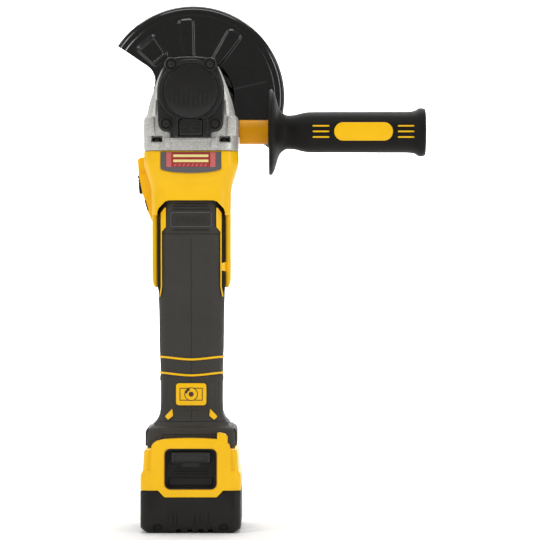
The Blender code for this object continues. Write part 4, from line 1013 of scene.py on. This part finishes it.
def strip_between(name, outline, low, high, cad_name):
    """Part of a thin skin over the grip, inside an outline seen from the front."""
    strip = band(name, grown_loops(1.1, low, high, 60), grown_loops(0.1, low, high, 60))
    keep(strip, prism("strip_region", outline, -40.0, -12.0, "Y"))
    ease_edges(strip, 0.25)
    return done(strip, "body", "yellow", cad_name)


def skin(name, outline, low, high, grow, look="dark", hole=None):
    """Thin moulded detail on the grip's front, inside an outline seen from the front; its default look is the dark
    painted shade of the grip's side gaps.
    """
    made = band(name, grown_loops(grow, low, high, 40), grown_loops(0.05, low, high, 40))
    keep(made, prism("skin_region", outline, -40.0, -12.0, "Y"))
    if hole:
        cut(made, prism("skin_hole_cut", hole, -50.0, -5.0, "Y"))
    return done(made, "body", look)


INSERT = ((19.0, 243.4), (20.0, 243.4), (22.9, 239.6), (22.9, 184.0), (24.2, 176.6), (23.3, 176.6), (22.0, 184.0),
          (22.0, 225.4), (19.0, 229.0))
WEDGE = ((14.3, 92.2), (19.8, 86.4), (17.4, 84.0), (13.6, 87.0))
# Outline of the painted shade in the gap beside each housing leg.
GAP_SHADE_OUTLINE = ((18.6, 247.8), (19.6, 248.6), (24.4, 244.6), (25.9, 241.0), (25.9, 184.6), (24.6, 180.0), (23.3, 184.6),
            (23.3, 241.2))


def trims():
    """Rings, inserts and wedges in bright plastic, and the fine lines moulded into the grip's front."""
    trim_ring("ring_upper", 130.6, "trim_ring_upper")
    trim_ring("ring_lower", 118.6, "trim_ring_lower")
    for label, side in (("left", -1), ("right", 1)):
        insert = softened(on_side(side, INSERT), 0.4)
        strip_between(f"insert_{label}", insert, 176.0, 244.4, f"grip_insert_{label}")
        wedge = softened(on_side(side, WEDGE), 0.7)
        strip_between(f"wedge_{label}", wedge, 83.6, 93.0, f"tail_wedge_{label}")
        # Painted shade: a dark sheet laid on the grip where the gap between the grip and the housing's leg falls in
        # shade, bridged once on the right.
        skin(f"gap_shade_sheet_{label}", softened(on_side(side, GAP_SHADE_OUTLINE), 0.2), 179.0, 249.0, 0.45)
    bridge = [(22.6, 196.4), (25.9, 195.6), (25.9, 202.6), (22.6, 201.8)]
    skin("vent_bridge", bridge, 195.0, 203.0, 1.0, "yellow")
    frame = rounded(-15.4, 15.4, 228.9, 240.0, 1.8)
    skin("badge_frame", frame, 228.0, 241.0, 0.55, "grey", rounded(-14.9, 14.9, 229.4, 239.5, 1.4))
    for number in range(1, 12):
        x = -13.8 + 2.3 * number
        skin(f"badge_bar_{number}", rectangle(x - 0.45, x + 0.45, 231.8, 237.0), 231.0, 238.0, 0.4, "grip")
    for number, (half, z) in enumerate(((14.0, 242.2), (13.0, 244.4), (12.0, 246.4), (13.6, 226.6)), 1):
        line = rectangle(-half, half, z - 0.25, z + 0.25)
        skin(f"panel_line_{number}", line, z - 1.0, z + 1.0, 0.35, "soft_black")


def tail_badge():
    """Yellow plate with a plain dial: a box, a ring, a hub and a sweep."""
    plate = prism("tail_plate", rounded(-11.4, 11.4, 94.8, 111.4, 2.2), -24.9, -26.5, "Y", bevel=0.35)
    done(plate, "body", "yellow", "tail_label")
    line = prism("tail_frame", rounded(-8.7, 8.7, 98.4, 108.0, 0.3), -26.4, -26.62, "Y")
    cut(line, prism("frame_cut", rounded(-8.1, 8.1, 99.0, 107.4, 0.2), -27.0, -26.0, "Y"))
    done(line, "body", "mark")
    centre = (0.0, 103.2)
    for name, low, high, inner, outer, look in (
        ("tail_dial", -26.4, -26.66, 0.0, 4.6, "yellow"),
        ("tail_dial_ring", -26.4, -26.7, 4.5, 5.1, "mark"),
        ("tail_dial_hub", -26.5, -26.78, 0.0, 1.9, "mark"),
    ):
        profile = ((inner, low), (inner, high), (outer, high), (outer, low))
        done(turned(name, profile, centre, "Y"), "body", look)
    sweep = arc(4.7, 105.0, 172.0, 14, centre) + arc(3.1, 172.0, 105.0, 14, centre)
    done(prism("tail_dial_sweep", sweep, -26.5, -26.74, "Y"), "body", "mark")


def slide_switch():
    """Ribbed knob on the left side."""
    outline = [(-41.0, 267.4), (-40.6, 268.6), (-34.4, 268.6), (-34.4, 258.6), (-36.2, 254.6), (-39.8, 254.4)]
    knob = prism("slide_knob", softened(outline, 0.5), -7.0, 14.0, "Y", bevel=0.6)
    for z in (256.4, 258.6, 260.8, 263.0, 265.2):
        cut(knob, block("knob_line_cut", (-43.0, -8.0, z), (-40.2, 15.0, z + 0.9)))
    done(knob, "switch", "black", "switch_knob")


def upright_shell(name, shape, steps):
    """Loft of rounded rectangles from rows of height, half width, front, back and corner radius."""
    loops = [[(x, y, z) for x, y in rounded(-half, half, front, back, radius, steps)]
             for z, half, front, back, radius in shape]
    return loft(name, loops)


FOOT_SHAPE = (
    (63.4, 32.2, -34.6, 64.6, 8), (64.2, 33.1, -35.6, 65.6, 8), (66.0, 33.3, -35.8, 65.8, 8),
    (74.0, 32.9, -35.4, 65.4, 8), (77.0, 31.9, -34.6, 63.0, 8), (78.2, 31.0, -33.6, 60.0, 8),
    (78.9, 29.2, -31.2, 55.0, 9), (79.6, 28.5, -30.2, 51.0, 9), (81.2, 28.1, -29.4, 46.0, 10),
    (82.7, 27.0, -28.5, 40.0, 10),
)
FOOT_WING = ((31.0, 64.4), (34.3, 64.4), (34.3, 75.0), (33.1, 77.6), (31.0, 77.4))


def battery_foot():
    """Flared end of the tool, with a wing on each side and the channel for the pack's rails."""
    foot = upright_shell("foot_shell", FOOT_SHAPE, 10)
    for side in (-1, 1):
        join(foot, prism("foot_wing", softened(on_side(side, FOOT_WING), 0.6), -26.0, 40.0, "Y"))
    cut(
        foot,
        block("rail_neck_cut", (-17.4, -40.0, 60.0), (17.4, 62.0, 67.0)),
        block("rail_head_cut", (-21.4, -40.0, 66.8), (21.4, 62.0, 73.4)),
        block("catch_cut", (-6.6, -32.2, 72.0), (6.6, -26.0, 75.4)),
        cylinder("cable_cut", 6.0, 70.0, 90.0, (0.0, 12.0), "Z"),
    )
    ease_edges(foot, 0.5)
    return done(foot, "body", "grip", "battery_foot")


# ---- Battery ----------------------------------------------------------------------------------------


TRAY_SHAPE = (
    (0.0, 32.6, -41.5, 64.5, 5), (1.0, 34.2, -43.0, 66.0, 5.6), (2.6, 36.4, -44.6, 67.6, 6),
    (3.8, 37.4, -45.6, 68.6, 6), (5.2, 37.7, -46.0, 69.0, 6), (31.0, 37.7, -46.0, 69.0, 6),
    (31.7, 37.3, -45.6, 68.6, 6),
)
SCREW_SEAT = ((20.8, 2.4), (28.4, 2.4), (28.0, 7.0), (21.4, 7.0))


def lower_case():
    """Black tray with grooved walls, corner screw pockets and a notched bottom edge."""
    case = upright_shell("pack_tray", TRAY_SHAPE, 8)
    # Shallow notches between the feet of the bottom edge, and upright grooves above them.
    for x in (-8.9, -0.6, 7.4, 15.0):
        notch = softened([(x - 2.3, -1.0), (x + 2.3, -1.0), (x + 1.7, 3.2), (x - 1.7, 3.2)], 0.9)
        cut(case, prism("bottom_notch_cut", notch, -60.0, -34.0, "Y"))
        cut(case, prism("bottom_notch_cut_back", notch, 58.0, 90.0, "Y"))
    for x in (-16.4, -13.0, -10.2, 3.4, 7.2, 13.4):
        line = softened([(x - 0.9, 3.0), (x + 0.9, 3.0), (x + 0.5, 15.0), (x - 0.5, 15.0)], 0.3)
        cut(case, prism("wall_groove_cut", line, -60.0, -45.3, "Y"))
    plug = ((0, -41.4), (0, -43.4), (1.6, -43.4), (1.6, -41.4))
    for side in (-1, 1):
        cut(case, prism("screw_seat_cut", softened(on_side(side, SCREW_SEAT), 1.4), -60.0, -42.4, "Y"))
        join(case, turned("seat_plug", plug, (side * 24.6, 4.8), "Y", edge=0.2))
        for y in (-30.0, -14.0, 2.0, 18.0, 34.0, 50.0):
            low, high = sorted((side * 37.2, side * 40.0))
            cut(case, block("side_groove_cut", (low, y, 8.0), (high, y + 2.2, 26.0)))
    cut(case, block("cell_tray_cut", (-34.6, -33.4, 3.0), (34.6, 63.0, 40.0)))
    tongue = [(-20.0, 26.6), (20.0, 26.6), (25.6, 32.6), (-25.6, 32.6)]
    cut(case, prism("tongue_cut", tongue, -50.0, -42.0, "Y"))
    ease_edges(case, 0.45)
    return done(case, "battery", "black", "battery_lower_case")


PACK_FRONT = -46.0
LID_SHAPE = (
    (32.0, 37.4, PACK_FRONT + 0.3, 68.7, 6), (32.6, 37.7, PACK_FRONT, 69.0, 6), (41.0, 37.7, PACK_FRONT, 69.0, 6),
    (44.0, 37.4, PACK_FRONT, 69.0, 6), (45.2, 36.8, PACK_FRONT + 0.1, 68.7, 6),
    (46.6, 35.9, PACK_FRONT + 0.4, 68.0, 6), (50.0, 35.6, PACK_FRONT + 0.5, 68.0, 6),
    (60.6, 35.0, PACK_FRONT + 0.6, 68.0, 6), (62.2, 34.3, PACK_FRONT + 1.0, 67.0, 6),
    (63.0, 33.2, PACK_FRONT + 1.9, 66.0, 6),
)
WALL_HALF = ((0.0, 71.0), (10.0, 70.8), (20.0, 70.2), (25.6, 68.8), (28.4, 66.8), (29.5, 64.4), (29.4, 40.0))
WING_STEP = ((30.3, 46.6), (45.0, 46.6), (45.0, 70.0), (30.0, 70.0))


def upper_case():
    """Yellow lid: swelling shoulders, arched front wall with its tab, and the latch's recess."""
    case = upright_shell("pack_lid", LID_SHAPE, 8)
    tab = [(19.8, 68.0), (27.6, 67.0), (27.6, 72.0), (26.2, 74.2), (21.6, 75.2), (19.8, 74.8)]
    tongue = [(-19.6, 27.0), (19.6, 27.0), (25.2, 33.0), (-25.2, 33.0)]
    join(case, prism("front_wall", softened(mirrored(WALL_HALF), 1.4), -37.0, PACK_FRONT, "Y", bevel=1.5, steps=5))
    join(case, prism("front_tab", softened(tab, 0.9), -38.0, PACK_FRONT + 0.15, "Y", bevel=0.9))
    join(case, prism("front_tongue", softened(tongue, 0.8), -42.6, PACK_FRONT, "Y"))
    for side in (-1, 1):
        # Step where the front wall meets each side wing.
        cut(case, prism("wing_step_cut", softened(on_side(side, WING_STEP), 0.6), -60.0, -44.2, "Y"))
    cut(case, block("cell_room_cut", (-34.0, -33.4, 30.0), (34.0, 63.0, 44.4)))
    cut(case, prism("latch_recess_cut", rounded(-19.6, 19.6, 32.6, 63.2, 4.5, 10), -50.0, -39.4, "Y"))
    cut(case, prism("recess_rim_cut", rounded(-20.4, 20.4, 31.8, 64.0, 5.2, 10), -50.0, -45.4, "Y"))
    cut(case, block("latch_way_cut", (-7.5, -45.0, 44.4), (7.5, -26.4, 62.2)))
    cut(case, block("tooth_way_cut", (-6.6, -32.2, 60.0), (6.6, -26.4, 80.0)))
    ease_edges(case, 0.5)
    return done(case, "battery", "yellow", "battery_upper_case")


def pack_rails():
    """Dark undercut rails on the deck, with the contact slots at their back end."""
    rails = block("pack_rails", (-17.0, -35.4, 63.0), (17.0, 49.6, 68.0))
    join(rails, block("rail_head", (-21.1, -35.4, 67.1), (21.1, 49.6, 73.1)))
    cut(rails, block("tooth_way_cut", (-6.6, -32.2, 60.0), (6.6, -26.4, 80.0)))
    for x in (-9.0, 0.0, 9.0):
        cut(rails, block("blade_cut", (x - 1.2, 40.5, 68.0), (x + 1.2, 52.0, 80.0)))
    for y in (-18.0, 2.0, 22.0):
        cut(rails, block("deck_groove_cut", (-12.0, y, 72.2), (12.0, y + 8.0, 75.0)))
    ease_edges(rails, 0.4)
    return done(rails, "battery", "grip")


def recess_lining():
    """Dark dish inside the latch recess, with three ribs for the thumb and an opening behind the latch."""
    outer = rounded(-19.2, 19.2, 33.0, 62.8, 4.2, 10)
    lining = prism("recess_dish", outer, -39.5, -45.2, "Y")
    cut(lining, prism("dish_cut", rounded(-18.5, 18.5, 33.7, 62.1, 3.6, 10), -60.0, -40.3, "Y"))
    cut(lining, block("dish_way_cut", (-6.6, -50.0, 49.0), (6.6, -30.0, 57.8)))
    for z in (43.4, 45.4, 47.3):
        rib = softened(rectangle(-12.6, 12.6, z - 0.45, z + 0.45), 0.3)
        join(lining, prism("thumb_rib", rib, -40.0, -41.6, "Y", bevel=0.25))
    step = softened(rectangle(-16.6, 16.6, 35.2, 41.6), 1.2)
    join(lining, prism("dish_step", step, -40.0, -41.0, "Y", bevel=0.6))
    return done(lining, "battery", "black")


def latch():
    """Wide release button, hollow along its lower edge, with the bridge and tooth behind it."""
    face = rounded(-14.9, 14.9, 52.2, 61.2, 2.0, 8)
    button = prism("latch_button", face, -40.9, -44.8, "Y", bevel=1.3, steps=5)
    scoop = cylinder("scoop_cut", 9.0, -12.4, 12.4, (-52.6, 54.6), "X", steps=64)
    cut(button, scoop)
    join(button, block("latch_bridge", (-6.0, -41.5, 53.4), (6.0, -27.0, 57.4)))
    join(button, block("latch_skirt", (-7.1, -38.9, 48.6), (7.1, -38.0, 57.0)))
    tooth = [(-31.4, 55.0), (-27.0, 55.0), (-27.0, 73.4), (-28.4, 74.8), (-31.4, 74.8)]
    join(button, prism("latch_tooth", tooth, -6.0, 6.0, "X"))
    return done(button, "battery_latch", "satin", "battery_latch")


# ---- Side handle ------------------------------------------------------------------------------------


GRIP_PROFILE = (
    (5.0, 58.3), (31.6, 58.4), (32.5, 59.0), (32.5, 60.4), (32.0, 61.2), (29.0, 62.8), (24.0, 64.3), (20.0, 65.4),
    (17.0, 66.8), (14.9, 68.6), (13.6, 70.4), (12.9, 72.4), (12.9, 75.0), (13.3, 78.4), (14.2, 82.0),
    (15.0, 85.4), (15.4, 89.0), (15.5, 94.0), (15.5, 120.0), (15.6, 150.0), (15.6, 163.0), (15.8, 166.2),
    (16.4, 168.8), (17.4, 170.4), (18.2, 171.6), (18.4, 172.8), (18.4, 174.8), (18.0, 176.2), (17.0, 177.0),
    (15.6, 177.0), (15.0, 176.4), (0.0, 176.4), (0.0, 100.0), (5.0, 100.0),
)
BAR_ROWS = (-4.2, 0.0, 4.2)       # heights of the grip's bright bars above its axis


def across_grip(left, right, middle, half, radius, steps):
    """Rounded outline on the grip's front, reaching half above and below a height measured from its axis."""
    return rounded(left, right, SIDE_Z + middle - half, SIDE_Z + middle + half, radius, steps)


def side_grip():
    """Moulded grip: guard flange, waisted neck, long barrel with finger flutes and a flared end."""
    grip = turned("side_barrel", GRIP_PROFILE, SIDE, "X", 144)
    cut(grip, prism("badge_cut", across_grip(107.0, 152.6, 0.0, 7.4, 7.2, 12), -40.0, SIDE_Y - 13.0, "Y"))
    for start in (91.2, 155.4):
        for height in BAR_ROWS:
            slot = across_grip(start, start + 13.0, height, 0.8, 0.7, 4)
            cut(grip, prism("bar_cut", slot, -40.0, SIDE_Y - 14.3, "Y"))
    # Long shallow flutes round the back of the barrel.
    for angle in (60.0, 0.0, -60.0):
        cut(grip, cylinder("finger_flute_cut", 1.4, 96.0, 160.0, polar(16.2, angle, SIDE), "X", steps=24))
    return done(grip, "side_handle", "soft_black", "side_handle_grip")


def side_handle():
    """Grip with its badge and bars, the bright collar, and the threaded stud."""
    side_grip()
    outline = across_grip(107.6, 152.0, 0.0, 6.9, 6.8, 14)
    badge = prism("side_badge", outline, SIDE_Y - 13.3, SIDE_Y - 15.6, "Y", bevel=0.6, steps=5)
    done(badge, "side_handle", "yellow", "side_handle_badge")
    for group, start in enumerate((91.4, 155.6)):
        for row, height in enumerate(BAR_ROWS, 1):
            outline = across_grip(start, start + 12.6, height, 0.6, 0.55, 5)
            depth = SIDE_Y - sqrt(15.55 ** 2 - height * height) - 0.25
            bar = prism(f"grip_bar_{3 * group + row}", outline, SIDE_Y - 14.0, depth, "Y", bevel=0.25)
            done(bar, "side_handle", "yellow")
    profile = ((4.4, 36.0), (9.2, 36.0), (9.2, 58.0), (4.7, 58.0), (4.7, 96.0), (4.4, 96.0))
    collar = turned("side_sleeve", profile, SIDE, "X", 128, 0.5)
    done(collar, "side_handle", "orange", "side_handle_collar")
    thread = [(0.0, 21.0), (3.4, 21.0)]
    for k in range(11):
        start = 21.6 + 1.25 * k
        thread += [(4.0, start), (4.0, start + 0.5), (3.4, start + 0.75), (3.4, start + 1.0)]
    thread += [(4.0, 35.6), (4.0, 94.0), (0.0, 94.0)]
    done(turned("side_stud", thread, SIDE, "X", 48), "side_handle", "steel", "side_handle_stud")


# ---- Parts kept as the CAD has them -----------------------------------------------------------------

KEPT = {
    "steel": ("spindle_bearing", "spindle_bush", "crown_gear", "pinion_gear", "spindle_lock_spring", "motor_shaft",
              "motor_front_bearing", "motor_rear_bearing", "battery_latch_spring"),
    "dark_steel": ("nose_screw_1", "nose_screw_2", "nose_screw_3", "nose_screw_4", "rotor"),
    "copper": ("stator",),
    "black": ("fan", "switch_link", "terminal_block"),
    "grey": ("switch_body", "cells_lower", "cells_upper"),
    "green": ("controller_board",),
}


def dress_kept_nodes():
    """Gives the CAD nodes that stay in view their procedural looks."""
    for look, names in KEPT.items():
        for name in names:
            mesh = frame["nodes"][name].data
            mesh.materials.clear()
            mesh.materials.append(LOOKS[look])


# ---- Studio -----------------------------------------------------------------------------------------


LAMPS = (
    # Name, place in metres, target (None is the tool's middle), size and power.
    ("key_left", (-1.10, -1.00, 0.95), None, (0.22, 0.9), 7.2),
    ("key_right", (1.25, -0.95, 0.55), None, (0.15, 1.1), 6.8),
    ("top", (0.05, -0.45, 1.35), None, (0.9, 0.25), 3.4),
    ("low_front", (0.0, -1.6, 0.12), None, (1.3, 0.20), 0.9),
    ("edge_left", (-0.80, 0.25, 0.45), None, (0.12, 1.0), 1.2),
    ("edge_right", (0.95, 0.30, 0.45), None, (0.12, 1.0), 1.2),
    ("backdrop_light", (0.0, 2.3, 1.0), (0.0, 3.8, 0.5), (1.8, 1.0), 50.0),
    ("floor_light", (0.0, 0.9, 1.7), (0.0, 0.9, 0.0), (2.0, 1.0), 22.0),
    ("floor_far_light", (0.0, 2.3, 1.4), (0.0, 2.3, 0.0), (1.8, 0.8), 22.0),
)
BACKDROP_Y = 3.8                  # metres to the backdrop's wall
BACKDROP_CURVE = 0.9              # radius of the curve between floor and wall
BACKDROP_HALF = 4.0
WORLD_STRENGTH = 0.27
CAMERA_PLACE = (0.0593, -2.5, 0.1966)
CAMERA_LENS = 219.25


def lamp(name, place, target, size, power):
    """Rectangular lamp turned to its target and hidden from the camera."""
    data = bpy.data.lights.new(name, "AREA")
    data.shape = "RECTANGLE"
    data.size, data.size_y = size
    data.energy = power
    obj = bpy.data.objects.new(name, data)
    bpy.context.scene.collection.objects.link(obj)
    obj.visible_camera = False
    obj.location = place
    obj.rotation_euler = (Vector(target) - Vector(place)).to_track_quat("-Z", "Y").to_euler()


def studio():
    """Pale floor that curves up into a backdrop, with its lamps and a dim white world."""
    start = BACKDROP_Y - BACKDROP_CURVE
    curve = [(start + BACKDROP_CURVE * sin(radians(a)), BACKDROP_CURVE - BACKDROP_CURVE * cos(radians(a)))
             for a in range(0, 91, 6)]
    profile = [(-BACKDROP_HALF, 0.0)] + curve + [(BACKDROP_Y, BACKDROP_HALF)]
    points = [(x / MM, y / MM, z / MM - 0.05) for y, z in profile for x in (-BACKDROP_HALF, BACKDROP_HALF)]
    faces = [(2 * k, 2 * k + 1, 2 * k + 3, 2 * k + 2) for k in range(len(profile) - 1)]
    floor = to_mesh("backdrop", points, faces)
    floor.data.materials.append(
        finish_of("paper", (0.97, 0.97, 0.97), 0.85, 0.0, 0.1, 300.0, 0.01, 0.004, 0.04))
    floor.data.shade_smooth()

    world = bpy.data.worlds.new("pale")
    bpy.context.scene.world = world
    world.use_nodes = True
    background = world.node_tree.nodes["Background"]
    background.inputs["Color"].default_value = (1.0, 1.0, 1.0, 1.0)
    background.inputs["Strength"].default_value = WORLD_STRENGTH

    middle = [(low + high) / 2 for low, high in zip(cad_low, cad_high)]
    for name, place, target, size, power in LAMPS:
        lamp(name, place, target or middle, size, power)


def camera():
    """Level view of the cover side, square to the tool."""
    data = bpy.data.cameras.new("view")
    data.sensor_width = 36.0
    data.lens = CAMERA_LENS
    obj = bpy.data.objects.new("view", data)
    bpy.context.scene.collection.objects.link(obj)
    obj.location = CAMERA_PLACE
    obj.rotation_euler = (pi / 2, 0.0, 0.0)
    bpy.context.scene.camera = obj


def main():
    camera()
    studio()
    for build in (gear_case, gear_case_cover, head_screws, lock_button, wheel_guard, guard_parts, wheel_end,
                  motor_housing, switch_seal, housing_label):
        build()
    handle_half("grip_shell_left", -1, "handle_left")
    handle_half("grip_shell_right", 1, "handle_right")
    for build in (trims, tail_badge, slide_switch, battery_foot, lower_case, upper_case, pack_rails, recess_lining,
                  latch, side_handle, dress_kept_nodes):
        build()
    settings = bpy.context.scene.view_settings
    settings.view_transform = "Standard"
    settings.look = "None"
    settings.exposure = 0.0


main()
